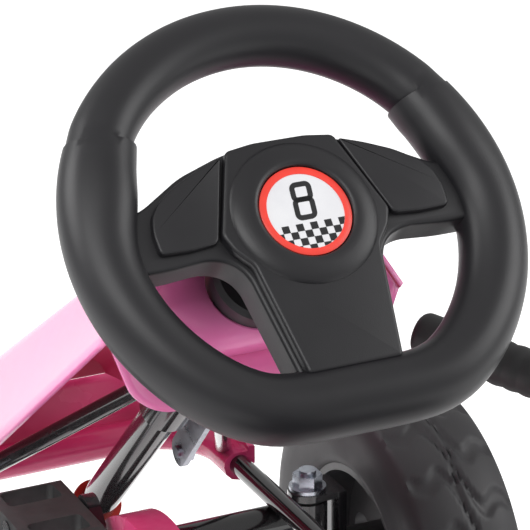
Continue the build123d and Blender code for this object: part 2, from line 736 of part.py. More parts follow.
def belt(front_radius, rear_radius, y, thickness):
    """A flat slab with the outline of a belt round both chain wheels, from y towards -Y."""
    run = hypot(crank_x - rear_axle_x, crank_z - axle_z)
    lean = asin((front_radius - rear_radius) / run)
    rise = asin((crank_z - axle_z) / run)
    with BuildPart() as slab:
        with BuildSketch(cross_plane(0, y, 0)):
            with Locations((crank_x, crank_z)):
                Circle(front_radius)
            with Locations((rear_axle_x, axle_z)):
                Circle(rear_radius)
            with BuildLine():
                corners = []
                for way in (1, -1):
                    turn = rise + way * (pi / 2 - lean)
                    corners.append((cos(turn), sin(turn)))
                (upx, upz), (downx, downz) = corners
                Polyline((rear_axle_x + rear_radius * upx, axle_z + rear_radius * upz),
                         (crank_x + front_radius * upx, crank_z + front_radius * upz),
                         (crank_x + front_radius * downx, crank_z + front_radius * downz),
                         (rear_axle_x + rear_radius * downx, axle_z + rear_radius * downz), close=True)
            make_face()
        extrude(amount=thickness)
    return slab.part


chain_outer = chain_y + chain_inner_width / 2 + chain_plate
pin_count = 34
with BuildPart() as chain:
    for y in (chain_outer, chain_outer - chain_plate - chain_inner_width):
        add(belt(front_pitch + chain_half_height, rear_pitch + chain_half_height, y, chain_plate))
        add(belt(front_pitch - chain_half_height, rear_pitch - chain_half_height, y, chain_plate),
            mode=Mode.SUBTRACT)
    run = hypot(crank_x - rear_axle_x, crank_z - axle_z)
    lean = asin((front_pitch - rear_pitch) / run)
    rise = asin((crank_z - axle_z) / run)
    for way in (1, -1):
        turn = rise + way * (pi / 2 - lean)
        for step in range(pin_count):
            share = (step + 0.5) / pin_count
            reach = rear_pitch + (front_pitch - rear_pitch) * share
            if hypot(crank_x - rear_axle_x, 0) * share > rear_pitch + 10 and share < 1 - (front_pitch + 10) / run:
                pin_x = rear_axle_x + (crank_x - rear_axle_x) * share + reach * cos(turn)
                pin_z = axle_z + (crank_z - axle_z) * share + reach * sin(turn)
                add(rod((pin_x, chain_outer, pin_z),
                        (pin_x, chain_outer - 2 * chain_plate - chain_inner_width, pin_z), roller_radius - 0.8))
chain.part.label = "chain"
export_step(chain.part, "parts/chain.step")

case_outer = chain_y + case_width / 2
case_inner = chain_y - case_width / 2
for name, start, stop, skin in (("chain_case_inner", chain_y, case_inner, case_inner + case_wall),
                                ("chain_case_cover", case_outer, chain_y, case_outer)):
    with BuildPart() as chain_case:
        add(belt(case_front_radius, case_rear_radius, start, start - stop))
        if name == "chain_case_inner":
            add(belt(case_front_radius - case_wall, case_rear_radius - case_wall, start,
                     start - stop - case_wall), mode=Mode.SUBTRACT)
        else:
            add(belt(case_front_radius - case_wall, case_rear_radius - case_wall, start - case_wall,
                     start - stop - case_wall), mode=Mode.SUBTRACT)
        add(rod((crank_x, stop - 2, crank_z), (crank_x, start + 2, crank_z), hub_disc_radius + 2),
            mode=Mode.SUBTRACT)
        add(rod((rear_axle_x, stop - 2, axle_z), (rear_axle_x, start + 2, axle_z), hub_disc_radius),
            mode=Mode.SUBTRACT)
    chain_case.part.label = name
    export_step(chain_case.part, f"parts/{name}.step")

# ---------------------------------------------------------------- crank and pedals

arm_end = arm_y + arm_thickness
pedal_angle = radians(crank_angle)
pedal_x = crank_length * cos(pedal_angle)
pedal_z = crank_length * sin(pedal_angle)
spindle_end = arm_end + 2 + pedal_width
with BuildPart() as crankset:
    add(rod((crank_x, -arm_y, crank_z), (crank_x, arm_y, crank_z), crank_axle_radius))
    for side in (-1, 1):
        end_x = crank_x + side * pedal_x
        end_z = crank_z + side * pedal_z
        with BuildSketch(cross_plane(0, side * (arm_y + arm_thickness / 2), 0)):
            with Locations(((crank_x + end_x) / 2, (crank_z + end_z) / 2)):
                SlotCenterToCenter(crank_length, 24, rotation=crank_angle)
        extrude(amount=arm_thickness / 2, both=True)
        add(rod((end_x, side * (arm_end - 1), end_z), (end_x, side * spindle_end, end_z), pedal_spindle_radius))
crankset.part.label = "crankset"
export_step(crankset.part, "parts/crankset.step")

for side, hand in ((1, "left"), (-1, "right")):
    end_x = crank_x + side * pedal_x
    end_z = crank_z + side * pedal_z
    middle_y = side * (arm_end + 1 + pedal_width / 2)
    with BuildPart() as pedal:
        with BuildSketch(cross_plane(end_x, middle_y, end_z)):
            RectangleRounded(pedal_length, pedal_height, 6)
            Circle(pedal_spindle_radius + running_gap, mode=Mode.SUBTRACT)
        extrude(amount=pedal_width / 2, both=True)
        with BuildSketch(Plane(origin=(end_x, middle_y, end_z - pedal_height), x_dir=(1, 0, 0), z_dir=(0, 0, 1))):
            with Locations((-pedal_length / 3.4, 0), (pedal_length / 3.4, 0)):
                RectangleRounded(pedal_length / 4, pedal_width - 14, 4)
        extrude(amount=2 * pedal_height, mode=Mode.SUBTRACT)
    pedal.part.label = f"{hand}_pedal"
    export_step(pedal.part, f"parts/{hand}_pedal.step")

# ---------------------------------------------------------------- handbrake

shoe_reach = 14.0
swing = radians(brake_travel)
touch_x = rear_axle_x + (tyre_radius + shoe_clearance) * cos(radians(shoe_angle)) - brake_pivot_x
touch_z = axle_z + (tyre_radius + shoe_clearance) * sin(radians(shoe_angle)) - brake_pivot_z
shoe_x = brake_pivot_x + touch_x * cos(swing) + touch_z * sin(swing)
shoe_z = brake_pivot_z - touch_x * sin(swing) + touch_z * cos(swing)
lift = radians(shoe_angle) - swing
arm_end_x = shoe_x + shoe_reach * cos(lift)
arm_end_z = shoe_z + shoe_reach * sin(lift)
lever_top = Vector(brake_grip_x, brake_grip_y, brake_grip_z)
lever_foot = Vector(brake_pivot_x, brake_lever_y - 4, brake_pivot_z)
lever_elbow = Vector(brake_elbow_x, brake_lever_y - 4, brake_elbow_z)
lever_run = lever_top - lever_elbow
grip_start = lever_elbow + lever_run * 0.35
with BuildPart() as brake_lever:
    add(rod((brake_pivot_x, -22, brake_pivot_z), (brake_pivot_x, -wheel_y, brake_pivot_z),
            brake_shaft_radius))
    add(rod(lever_foot, lever_elbow, 7))
    add(rod(lever_elbow, lever_top, 7))
    with Locations(lever_elbow):
        Sphere(7.1)
    add(rod((brake_pivot_x, brake_lever_y + 6, brake_pivot_z), (brake_pivot_x, brake_lever_y - 14, brake_pivot_z),
            11))
    add(rod((brake_pivot_x, -wheel_y + 3, brake_pivot_z), (arm_end_x, -wheel_y + 3, arm_end_z), 6))
    add(rod((brake_pivot_x, -wheel_y - 4, brake_pivot_z), (brake_pivot_x, -wheel_y + 10, brake_pivot_z), 11))
brake_lever.part.label = "brake_lever"
export_step(brake_lever.part, "parts/brake_lever.step")

with BuildPart() as brake_grip:
    add(rod(grip_start, lever_elbow + lever_run * 1.03, 14))
    fillet(brake_grip.edges().filter_by(GeomType.CIRCLE), 6)
    add(rod(lever_elbow, lever_top, 7), mode=Mode.SUBTRACT)
brake_grip.part.label = "brake_grip"
export_step(brake_grip.part, "parts/brake_grip.step")

shoe_plane = Plane(origin=(shoe_x, -wheel_y, shoe_z), x_dir=(-sin(lift), 0, cos(lift)),
                   z_dir=(cos(lift), 0, sin(lift)))
with BuildPart() as brake_shoe:
    with BuildSketch(shoe_plane):
        RectangleRounded(50, 34, 5)
    extrude(amount=shoe_reach)
    add(rod((brake_pivot_x, -wheel_y + 3, brake_pivot_z), (arm_end_x, -wheel_y + 3, arm_end_z), 6),
        mode=Mode.SUBTRACT)
brake_shoe.part.label = "brake_shoe"
export_step(brake_shoe.part, "parts/brake_shoe.step")

# ---------------------------------------------------------------- seat

seat_rear_x = -kart_length / 2
seat_bottom = rail_top + slider_wall + seat_lift
pan_rise = 16.0
back_top = seat_bottom + 272
hip_x = seat_rear_x + 108
side_profile = ((seat_front_x, seat_bottom + pan_rise), (seat_front_x - 60, seat_bottom), (hip_x, seat_bottom),
                (seat_rear_x, back_top - 8), (seat_rear_x + 22, back_top), (hip_x + 40, seat_bottom + 130),
                (seat_front_x, seat_bottom + pan_rise + 34))
with BuildPart() as seat:
    with BuildSketch(cross_plane(0, 0, 0)):
        with BuildLine():
            Polyline(*side_profile, close=True)
        make_face()
    extrude(amount=seat_width / 2, both=True)
    with BuildSketch(cross_plane(0, 0, 0)):
        with BuildLine():
            Polyline((seat_front_x + 30, seat_bottom + pan_rise + seat_wall + 6),
                     (seat_front_x - 58, seat_bottom + seat_wall), (hip_x + 4, seat_bottom + seat_wall),
                     (seat_rear_x + seat_wall * 1.4, back_top - 6), (seat_rear_x + 10, back_top + 40),
                     (hip_x + 140, back_top + 40), (seat_front_x + 30, back_top), close=True)
        make_face()
    extrude(amount=seat_width / 2 - seat_wall, both=True, mode=Mode.SUBTRACT)
seat.part.label = "seat"
export_step(seat.part, "parts/seat.step")

slider_front = seat_front_x - 60 - 10
slider_rear = slider_front - 150
slider_half = rail_width / 2 + fit_gap
knob_x = (slider_front + slider_rear) / 2
knob_z = rail_top - 6
with BuildPart() as seat_slider:
    with BuildSketch(Plane.YZ.offset(slider_rear)):
        with BuildLine():
            Polyline((-slider_half - slider_wall, rail_top - 15), (-slider_half - slider_wall, seat_bottom),
                     (slider_half + slider_wall, seat_bottom), (slider_half + slider_wall, rail_top - 15),
                     (slider_half, rail_top - 15), (slider_half, rail_top + fit_gap),
                     (-slider_half, rail_top + fit_gap), (-slider_half, rail_top - 15), close=True)
        make_face()
    extrude(amount=slider_front - slider_rear)
    add(rod((knob_x, -slider_half - 10, knob_z), (knob_x, 0, knob_z), 4 + running_gap), mode=Mode.SUBTRACT)
seat_slider.part.label = "seat_slider"
export_step(seat_slider.part, "parts/seat_slider.step")

with BuildPart() as seat_knob:
    add(rod((knob_x, -slider_half, knob_z), (knob_x, -slider_half - 22, knob_z), 4))
    with BuildSketch(cross_plane(knob_x, -slider_half - 20, knob_z)):
        Circle(12)
        with PolarLocations(11, 5):
            Circle(5)
    extrude(amount=9)
seat_knob.part.label = "seat_knob"
export_step(seat_knob.part, "parts/seat_knob.step")

# ---------------------------------------------------------------- front spoiler and fairing

spoiler_tail_x = bumper_bend_x - 27
spoiler_low = side_tube_z - spoiler_radius
outer_half = side_tube_y + spoiler_radius
band_length = 2 * (kart_length / 2 - spoiler_tail_x)
with BuildPart() as front_spoiler:
    with BuildLine() as nose_path:
        FilletPolyline((spoiler_tail_x, side_tube_y, side_tube_z), (bumper_x, side_tube_y, side_tube_z),
                       (bumper_x, -side_tube_y, side_tube_z), (spoiler_tail_x, -side_tube_y, side_tube_z),
                       radius=side_tube_bend)
    with BuildSketch(Plane(origin=nose_path.line @ 0, z_dir=nose_path.line % 0)):
        Circle(spoiler_radius)
    sweep()
    with BuildSketch(Plane.XY.offset(side_tube_z)):
        with Locations((kart_length / 2 - band_length, 0)):
            RectangleRounded(2 * band_length, 2 * outer_half, side_tube_bend + spoiler_radius)
            RectangleRounded(2 * (band_length - spoiler_wall), 2 * (outer_half - spoiler_wall),
                             side_tube_bend + spoiler_radius - spoiler_wall, mode=Mode.SUBTRACT)
        with Locations((spoiler_tail_x - 2 * band_length, 0)):
            Rectangle(4 * band_length, 3 * outer_half, mode=Mode.SUBTRACT)
    extrude(amount=spoiler_height - spoiler_radius)
    with BuildSketch(cross_plane(0, 0, 0)):
        with BuildLine():
            Polyline((spoiler_tail_x - 5, side_tube_z + 14), (spoiler_tail_x - 5, side_tube_z + 60),
                     (spoiler_tail_x + 40, side_tube_z + 60), (spoiler_tail_x + 28, side_tube_z + 44),
                     close=True)
        make_face()
    extrude(amount=kart_width, both=True, mode=Mode.SUBTRACT)
    for side in (-1, 1):
        add(stay_rod(side, stay_radius + fit_gap), mode=Mode.SUBTRACT)
front_spoiler.part.label = "front_spoiler"

# The bore of the sleeve follows the tube it is clipped over
with BuildPart() as spoiler_core:
    with BuildLine() as core_path:
        FilletPolyline((spoiler_tail_x - 20, side_tube_y, side_tube_z), (bumper_x, side_tube_y, side_tube_z),
                       (bumper_x, -side_tube_y, side_tube_z), (spoiler_tail_x - 20, -side_tube_y, side_tube_z),
                       radius=side_tube_bend)
    with BuildSketch(Plane(origin=core_path.line @ 0, z_dir=core_path.line % 0)):
        Circle(side_tube_radius)
    sweep()
with BuildPart() as bored_spoiler:
    add(front_spoiler.part)
    add(spoiler_core.part, mode=Mode.SUBTRACT)
bored_spoiler.part.label = "front_spoiler"
export_step(bored_spoiler.part, "parts/front_spoiler.step")

slope = tan(radians(fairing_slope))
fairing_rear_x = hub_x + 64
fairing_nose_x = kart_length / 2 - 10
crest_rear_z = hub_height - 14.6


def hood(inset, drop):
    """The fairing's outline as a solid, made smaller all round by the inset and deeper by the drop."""
    sides = []
    for x in (fairing_rear_x + inset, fairing_nose_x - inset):
        crest = crest_rear_z - (x - fairing_rear_x) * slope - inset * 1.2
        edge = crest_rear_z - fairing_depth + 7 - (x - fairing_rear_x) * (slope + 0.097) - drop
        sides.append((x, crest, edge))
    with BuildPart() as solid:
        for x, crest, edge in sides:
            with BuildSketch(Plane.YZ.offset(x)):
                with BuildLine():
                    Polyline((-fairing_top_half + inset, crest), (fairing_top_half - inset, crest),
                             (fairing_bottom_half - inset, edge), (inset - fairing_bottom_half, edge),
                             close=True)
                make_face()
        loft(ruled=True)
    return solid.part


with BuildPart() as fairing:
    add(hood(0, 0))
    add(hood(fairing_wall, 20), mode=Mode.SUBTRACT)
    with BuildSketch(Plane.XY.offset(0)):
        with Locations((front_axle_x, 0)):
            Rectangle(kart_length, kart_width)
    extrude(amount=side_tube_z + spoiler_height - spoiler_radius + 10, mode=Mode.SUBTRACT)
    add(rod(column_point(40), column_point(300), collar_radius + fit_gap), mode=Mode.SUBTRACT)
    for side in (-1, 1):
        add(stay_rod(side, stay_radius + 2), mode=Mode.SUBTRACT)
fairing.part.label = "fairing"
export_step(fairing.part, "parts/fairing.step")

# ---------------------------------------------------------------- small fixings

with BuildPart() as frame_bolts:
    for share in (0.1, 0.38, 0.66, 0.9):
        bolt_x = rear_axle_x + (crank_x - rear_axle_x) * share
        bolt_z = axle_z + (crank_z - axle_z) * share + 32
        add(rod((bolt_x, case_outer, bolt_z), (bolt_x, case_outer + 3, bolt_z), 5))
    add(rod((strap_low.X, strap_y + 4, strap_low.Z), (strap_low.X, strap_y - 2, strap_low.Z), 4))
    with BuildSketch(cross_plane(strap_low.X, strap_y - 2, strap_low.Z)):
        RegularPolygon(hex_across(13), 6)
    extrude(amount=5)
frame_bolts.part.label = "frame_bolts"
export_step(frame_bolts.part, "parts/frame_bolts.step")
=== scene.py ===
import json
from math import asin, atan2, cos, degrees, exp, hypot, pi, radians, sin

import bmesh
import bpy
from mathutils import Matrix, Vector


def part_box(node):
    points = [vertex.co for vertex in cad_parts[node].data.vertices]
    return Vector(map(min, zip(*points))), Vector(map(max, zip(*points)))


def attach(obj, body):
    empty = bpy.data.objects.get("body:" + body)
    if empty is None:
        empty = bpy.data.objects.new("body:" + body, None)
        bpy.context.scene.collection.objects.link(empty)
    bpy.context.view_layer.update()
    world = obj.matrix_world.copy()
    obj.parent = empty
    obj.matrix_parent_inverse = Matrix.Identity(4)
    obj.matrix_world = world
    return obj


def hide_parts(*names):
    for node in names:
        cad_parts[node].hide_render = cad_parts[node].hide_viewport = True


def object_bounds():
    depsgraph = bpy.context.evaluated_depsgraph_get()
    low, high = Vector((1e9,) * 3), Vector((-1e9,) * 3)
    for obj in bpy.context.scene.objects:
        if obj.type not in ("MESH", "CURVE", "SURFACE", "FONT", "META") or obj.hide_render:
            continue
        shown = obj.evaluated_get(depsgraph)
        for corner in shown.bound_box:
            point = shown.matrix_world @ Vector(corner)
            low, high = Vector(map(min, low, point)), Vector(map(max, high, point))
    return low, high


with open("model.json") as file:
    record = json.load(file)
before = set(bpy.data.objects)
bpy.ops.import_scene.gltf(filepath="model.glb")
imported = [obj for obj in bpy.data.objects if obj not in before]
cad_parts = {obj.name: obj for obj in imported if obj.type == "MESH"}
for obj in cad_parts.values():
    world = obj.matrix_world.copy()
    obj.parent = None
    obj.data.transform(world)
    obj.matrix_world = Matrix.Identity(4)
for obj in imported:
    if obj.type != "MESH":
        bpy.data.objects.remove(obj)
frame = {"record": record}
cadLow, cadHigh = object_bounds()
print("stage: frame loaded")

mm = 0.001
joints = {j["name"]: j for j in frame["record"]["behaviour"]["joints"]}
bodyOf = {n: b for b, nodes in frame["record"]["behaviour"]["bodies"].items() for n in nodes}
slotOf = {s["node"]: s["material_slot"] for s in frame["record"]["subparts"]}

# ---- the steering wheel's own frame: X to the right, Y up the wheel, Z towards the driver
hub = Vector(joints["steering_turn"]["pos_m"])
towardDriver = Vector(joints["steering_turn"]["axis"]).normalized()
wheelRight = Vector((0, -1, 0))
wheelUp = towardDriver.cross(wheelRight).normalized()
wheelFrame = Matrix((wheelRight, wheelUp, towardDriver)).transposed().to_4x4()
wheelFrame.translation = hub


# ---- shader effects shared by the materials
def newGroup(name, inputs, outputs):
    group = bpy.data.node_groups.new(name, "ShaderNodeTree")
    for socketName, kind, value in inputs:
        socket = group.interface.new_socket(socketName, in_out="INPUT", socket_type=kind)
        socket.default_value = value
    for socketName, kind in outputs:
        group.interface.new_socket(socketName, in_out="OUTPUT", socket_type=kind)
    return group, group.nodes.new("NodeGroupInput"), group.nodes.new("NodeGroupOutput")


def addNode(tree, kind, **settings):
    node = tree.nodes.new(kind)
    for key, value in settings.items():
        setattr(node, key, value)
    return node


def buildGrain():  # fine moulded texture: a bumpy normal and a mask
    group, inn, out = newGroup(
        "MouldedGrain",
        [("Scale", "NodeSocketFloat", 900), ("Strength", "NodeSocketFloat", 0.1), ("Distance", "NodeSocketFloat", 0.0002)],
        [("Normal", "NodeSocketVector"), ("Mask", "NodeSocketFloat")],
    )
    place = addNode(group, "ShaderNodeTexCoord")
    fine = addNode(group, "ShaderNodeTexNoise")
    fine.inputs["Detail"].default_value = 3
    pits = addNode(group, "ShaderNodeTexVoronoi", feature="SMOOTH_F1")
    mix = addNode(group, "ShaderNodeMath", operation="MULTIPLY")
    bump = addNode(group, "ShaderNodeBump")
    link = group.links.new
    link(place.outputs["Object"], fine.inputs["Vector"])
    link(place.outputs["Object"], pits.inputs["Vector"])
    link(inn.outputs["Scale"], fine.inputs["Scale"])
    link(inn.outputs["Scale"], pits.inputs["Scale"])
    link(fine.outputs["Fac"], mix.inputs[0])
    link(pits.outputs["Distance"], mix.inputs[1])
    link(mix.outputs[0], bump.inputs["Height"])
    link(inn.outputs["Strength"], bump.inputs["Strength"])
    link(inn.outputs["Distance"], bump.inputs["Distance"])
    link(bump.outputs["Normal"], out.inputs["Normal"])
    link(fine.outputs["Fac"], out.inputs["Mask"])
    return group


def buildTone():  # slow drift of a colour and of a roughness over a surface
    group, inn, out = newGroup(
        "ToneDrift",
        [("Light", "NodeSocketColor", (1, 1, 1, 1)), ("Dark", "NodeSocketColor", (0, 0, 0, 1)),
         ("Scale", "NodeSocketFloat", 12), ("Smooth", "NodeSocketFloat", 0.3), ("Rough", "NodeSocketFloat", 0.5)],
        [("Color", "NodeSocketColor"), ("Roughness", "NodeSocketFloat")],
    )
    place = addNode(group, "ShaderNodeTexCoord")
    cloud = addNode(group, "ShaderNodeTexNoise")
    cloud.inputs["Detail"].default_value = 5
    cloud.inputs["Roughness"].default_value = 0.6
    spread = addNode(group, "ShaderNodeMapRange")
    spread.inputs["From Min"].default_value = 0.3
    spread.inputs["From Max"].default_value = 0.7
    tone = addNode(group, "ShaderNodeMix", data_type="RGBA")
    rough = addNode(group, "ShaderNodeMix", data_type="FLOAT")
    link = group.links.new
    link(place.outputs["Object"], cloud.inputs["Vector"])
    link(inn.outputs["Scale"], cloud.inputs["Scale"])
    link(cloud.outputs["Fac"], spread.inputs["Value"])
    link(spread.outputs["Result"], tone.inputs["Factor"])
    link(inn.outputs["Dark"], tone.inputs["A"])
    link(inn.outputs["Light"], tone.inputs["B"])
    link(spread.outputs["Result"], rough.inputs["Factor"])
    link(inn.outputs["Smooth"], rough.inputs["A"])
    link(inn.outputs["Rough"], rough.inputs["B"])
    link(tone.outputs["Result"], out.inputs["Color"])
    link(rough.outputs["Result"], out.inputs["Roughness"])
    return group


def buildEdgeWear():  # a paler rub along sharp edges, broken up by noise
    group, inn, out = newGroup(
        "EdgeRub",
        [("Color", "NodeSocketColor", (0, 0, 0, 1)), ("Rub", "NodeSocketColor", (1, 1, 1, 1)), ("Amount", "NodeSocketFloat", 0.3)],
        [("Color", "NodeSocketColor")],
    )
    shape = addNode(group, "ShaderNodeNewGeometry")
    edge = addNode(group, "ShaderNodeMapRange")
    edge.inputs["From Min"].default_value = 0.52
    edge.inputs["From Max"].default_value = 0.6
    place = addNode(group, "ShaderNodeTexCoord")
    speck = addNode(group, "ShaderNodeTexNoise")
    speck.inputs["Scale"].default_value = 140
    byNoise = addNode(group, "ShaderNodeMath", operation="MULTIPLY")
    byAmount = addNode(group, "ShaderNodeMath", operation="MULTIPLY")
    mix = addNode(group, "ShaderNodeMix", data_type="RGBA")
    link = group.links.new
    link(shape.outputs["Pointiness"], edge.inputs["Value"])
    link(place.outputs["Object"], speck.inputs["Vector"])
    link(edge.outputs["Result"], byNoise.inputs[0])
    link(speck.outputs["Fac"], byNoise.inputs[1])
    link(byNoise.outputs[0], byAmount.inputs[0])
    link(inn.outputs["Amount"], byAmount.inputs[1])
    link(byAmount.outputs[0], mix.inputs["Factor"])
    link(inn.outputs["Color"], mix.inputs["A"])
    link(inn.outputs["Rub"], mix.inputs["B"])
    link(mix.outputs["Result"], out.inputs["Color"])
    return group


def buildDust():  # a thin pale film on faces that look up
    group, inn, out = newGroup(
        "UpwardDust",
        [("Color", "NodeSocketColor", (0, 0, 0, 1)), ("Dust", "NodeSocketColor", (0.3, 0.28, 0.26, 1)), ("Amount", "NodeSocketFloat", 0.1)],
        [("Color", "NodeSocketColor")],
    )
    shape = addNode(group, "ShaderNodeNewGeometry")
    split = addNode(group, "ShaderNodeSeparateXYZ")
    facing = addNode(group, "ShaderNodeMapRange")
    facing.inputs["From Min"].default_value = 0.2
    place = addNode(group, "ShaderNodeTexCoord")
    cloud = addNode(group, "ShaderNodeTexNoise")
    cloud.inputs["Scale"].default_value = 30
    cloud.inputs["Detail"].default_value = 6
    byNoise = addNode(group, "ShaderNodeMath", operation="MULTIPLY")
    byAmount = addNode(group, "ShaderNodeMath", operation="MULTIPLY")
    mix = addNode(group, "ShaderNodeMix", data_type="RGBA")
    link = group.links.new
    link(shape.outputs["Normal"], split.inputs["Vector"])
    link(split.outputs["Z"], facing.inputs["Value"])
    link(place.outputs["Object"], cloud.inputs["Vector"])
    link(facing.outputs["Result"], byNoise.inputs[0])
    link(cloud.outputs["Fac"], byNoise.inputs[1])
    link(byNoise.outputs[0], byAmount.inputs[0])
    link(inn.outputs["Amount"], byAmount.inputs[1])
    link(byAmount.outputs[0], mix.inputs["Factor"])
    link(inn.outputs["Color"], mix.inputs["A"])
    link(inn.outputs["Dust"], mix.inputs["B"])
    link(mix.outputs["Result"], out.inputs["Color"])
    return group


grainGroup = buildGrain()
toneGroup = buildTone()
rubGroup = buildEdgeWear()
dustGroup = buildDust()

# light, dark: the two ends of the colour; smooth, rough: the two ends of the roughness
finishes = {
    "wheelPlastic": dict(light=(0.0125, 0.012, 0.0145), dark=(0.0095, 0.009, 0.011), smooth=0.36, rough=0.44, toneScale=9,
                         grainScale=1500, grain=0.25, rub=(0.06, 0.06, 0.065), rubAmount=0.25, dust=0.02),
    "paintedTube": dict(light=(0.012, 0.012, 0.014), dark=(0.008, 0.008, 0.009), smooth=0.08, rough=0.16, toneScale=20,
                        grainScale=350, grain=0.05, rub=(0.25, 0.25, 0.26), rubAmount=0.2, dust=0.02, coat=0.8),
    "collarPlastic": dict(light=(0.022, 0.021, 0.024), dark=(0.014, 0.014, 0.016), smooth=0.3, rough=0.42, toneScale=20,
                          grainScale=1200, grain=0.2, rub=(0.08, 0.08, 0.08), rubAmount=0.3, dust=0.03),
    "redRing": dict(light=(0.55, 0.022, 0.014), dark=(0.38, 0.012, 0.01), smooth=0.22, rough=0.34, toneScale=30,
                    grainScale=900, grain=0.08, rub=(0.8, 0.2, 0.15), rubAmount=0.2, dust=0.02),
    "badgeRed": dict(light=(1.0, 0.062, 0.04), dark=(0.93, 0.05, 0.034), smooth=0.3, rough=0.4, toneScale=50,
                     grainScale=2500, grain=0.04, rub=(1.0, 0.3, 0.25), rubAmount=0.1, dust=0.0),
    "badgeWhite": dict(light=(0.86, 0.86, 0.88), dark=(0.8, 0.8, 0.83), smooth=0.3, rough=0.4, toneScale=50,
                       grainScale=2500, grain=0.03, rub=(1, 1, 1), rubAmount=0.1, dust=0.0),
    "badgeInk": dict(light=(0.012, 0.012, 0.014), dark=(0.008, 0.008, 0.01), smooth=0.35, rough=0.45, toneScale=50,
                     grainScale=2500, grain=0.04, rub=(0.1, 0.1, 0.1), rubAmount=0.1, dust=0.0),
    "zincPlate": dict(light=(0.62, 0.66, 0.74), dark=(0.36, 0.38, 0.44), smooth=0.2, rough=0.4, toneScale=70,
                      grainScale=700, grain=0.15, rub=(0.85, 0.87, 0.9), rubAmount=0.5, dust=0.04, metal=1.0),
    "bushNylon": dict(light=(0.04, 0.04, 0.042), dark=(0.025, 0.025, 0.027), smooth=0.5, rough=0.62, toneScale=40,
                      grainScale=1200, grain=0.2, rub=(0.1, 0.1, 0.1), rubAmount=0.2, dust=0.03),
    "pinkGloss": dict(light=(0.93, 0.235, 0.53), dark=(0.86, 0.19, 0.47), smooth=0.16, rough=0.24, toneScale=6,
                      grainScale=260, grain=0.03, rub=(0.97, 0.5, 0.7), rubAmount=0.2, dust=0.02, coat=0.35, glow=0.12),
    # the fairing pink made darker and redder for the hood's inner faces: painted shade for the shadow inside the hood
    "pinkPaintedShade": dict(light=(0.62, 0.03, 0.12), dark=(0.47, 0.015, 0.075), smooth=0.35, rough=0.5, toneScale=8,
                       grainScale=500, grain=0.1, rub=(0.8, 0.2, 0.4), rubAmount=0.1, dust=0.02, glow=0.1),
    "bumperPink": dict(light=(0.74, 0.05, 0.2), dark=(0.6, 0.03, 0.14), smooth=0.2, rough=0.3, toneScale=8,
                       grainScale=300, grain=0.04, rub=(0.9, 0.3, 0.5), rubAmount=0.2, dust=0.02, coat=0.3, glow=0.1),
    "pedalPlastic": dict(light=(0.026, 0.026, 0.028), dark=(0.017, 0.017, 0.018), smooth=0.42, rough=0.58, toneScale=25,
                         grainScale=900, grain=0.3, rub=(0.1, 0.1, 0.1), rubAmount=0.4, dust=0.06),
    "gripRubber": dict(light=(0.02, 0.02, 0.021), dark=(0.013, 0.013, 0.014), smooth=0.5, rough=0.66, toneScale=30,
                       grainScale=1300, grain=0.3, rub=(0.07, 0.07, 0.07), rubAmount=0.3, dust=0.05),
    "seatPlastic": dict(light=(0.024, 0.024, 0.027), dark=(0.016, 0.016, 0.018), smooth=0.34, rough=0.46, toneScale=7,
                        grainScale=1100, grain=0.3, rub=(0.09, 0.09, 0.1), rubAmount=0.3, dust=0.05),
    "tyreRubber": dict(light=(0.034, 0.033, 0.037), dark=(0.022, 0.021, 0.024), smooth=0.42, rough=0.6, toneScale=18,
                       grainScale=1000, grain=0.22, rub=(0.09, 0.09, 0.095), rubAmount=0.35, dust=0.08),
    "rimPlastic": dict(light=(0.035, 0.035, 0.038), dark=(0.024, 0.024, 0.026), smooth=0.3, rough=0.42, toneScale=15,
                       grainScale=900, grain=0.15, rub=(0.12, 0.12, 0.12), rubAmount=0.3, dust=0.05),
}


def makeFinish(name, light, dark, smooth, rough, toneScale, grainScale, grain, rub, rubAmount, dust,
               metal=0.0, coat=0.0, glow=0.0):
    material = bpy.data.materials.new(name)
    material.use_nodes = True
    tree = material.node_tree
    shader = tree.nodes["Principled BSDF"]
    shader.inputs["Metallic"].default_value = metal
    shader.inputs["Coat Weight"].default_value = coat
    shader.inputs["Coat Roughness"].default_value = 0.08
    shader.inputs["Subsurface Weight"].default_value = glow
    shader.inputs["Subsurface Radius"].default_value = (0.01, 0.004, 0.006)
    shader.inputs["Subsurface Scale"].default_value = 0.3
    tone, wear, film, bumpy = [addNode(tree, "ShaderNodeGroup", node_tree=g) for g in (toneGroup, rubGroup, dustGroup, grainGroup)]
    tone.inputs["Light"].default_value = (*light, 1)
    tone.inputs["Dark"].default_value = (*dark, 1)
    tone.inputs["Scale"].default_value = toneScale
    tone.inputs["Smooth"].default_value = smooth
    tone.inputs["Rough"].default_value = rough
    wear.inputs["Rub"].default_value = (*rub, 1)
    wear.inputs["Amount"].default_value = rubAmount
    film.inputs["Amount"].default_value = dust
    bumpy.inputs["Scale"].default_value = grainScale
    bumpy.inputs["Strength"].default_value = grain
    link = tree.links.new
    link(tone.outputs["Color"], wear.inputs["Color"])
    link(wear.outputs["Color"], film.inputs["Color"])
    link(film.outputs["Color"], shader.inputs["Base Color"])
    link(tone.outputs["Roughness"], shader.inputs["Roughness"])
    link(bumpy.outputs["Normal"], shader.inputs["Normal"])
    return material


materials = {name: makeFinish(name, **spec) for name, spec in finishes.items()}
finishOfSlot = {
    "frame_black": "paintedTube", "collar_black": "collarPlastic", "red_plastic": "redRing", "badge_red": "badgeRed",
    "badge_white": "badgeWhite", "wheel_black": "wheelPlastic", "zinc": "zincPlate", "bush_nylon": "bushNylon",
    "pink_gloss": "pinkGloss", "pink_deep": "bumperPink", "pedal_black": "pedalPlastic", "shoe_rubber": "gripRubber",
    "seat_black": "seatPlastic", "slider_black": "paintedTube", "tyre_grey": "tyreRubber", "rim_black": "rimPlastic",
    "pink_cap": "pinkGloss",
}
for node, slotName in slotOf.items():
    mesh = bpy.data.objects[node].data
    mesh.materials.clear()
    mesh.materials.append(materials[finishOfSlot[slotName]])
print("stage: finishes placed on the CAD nodes")


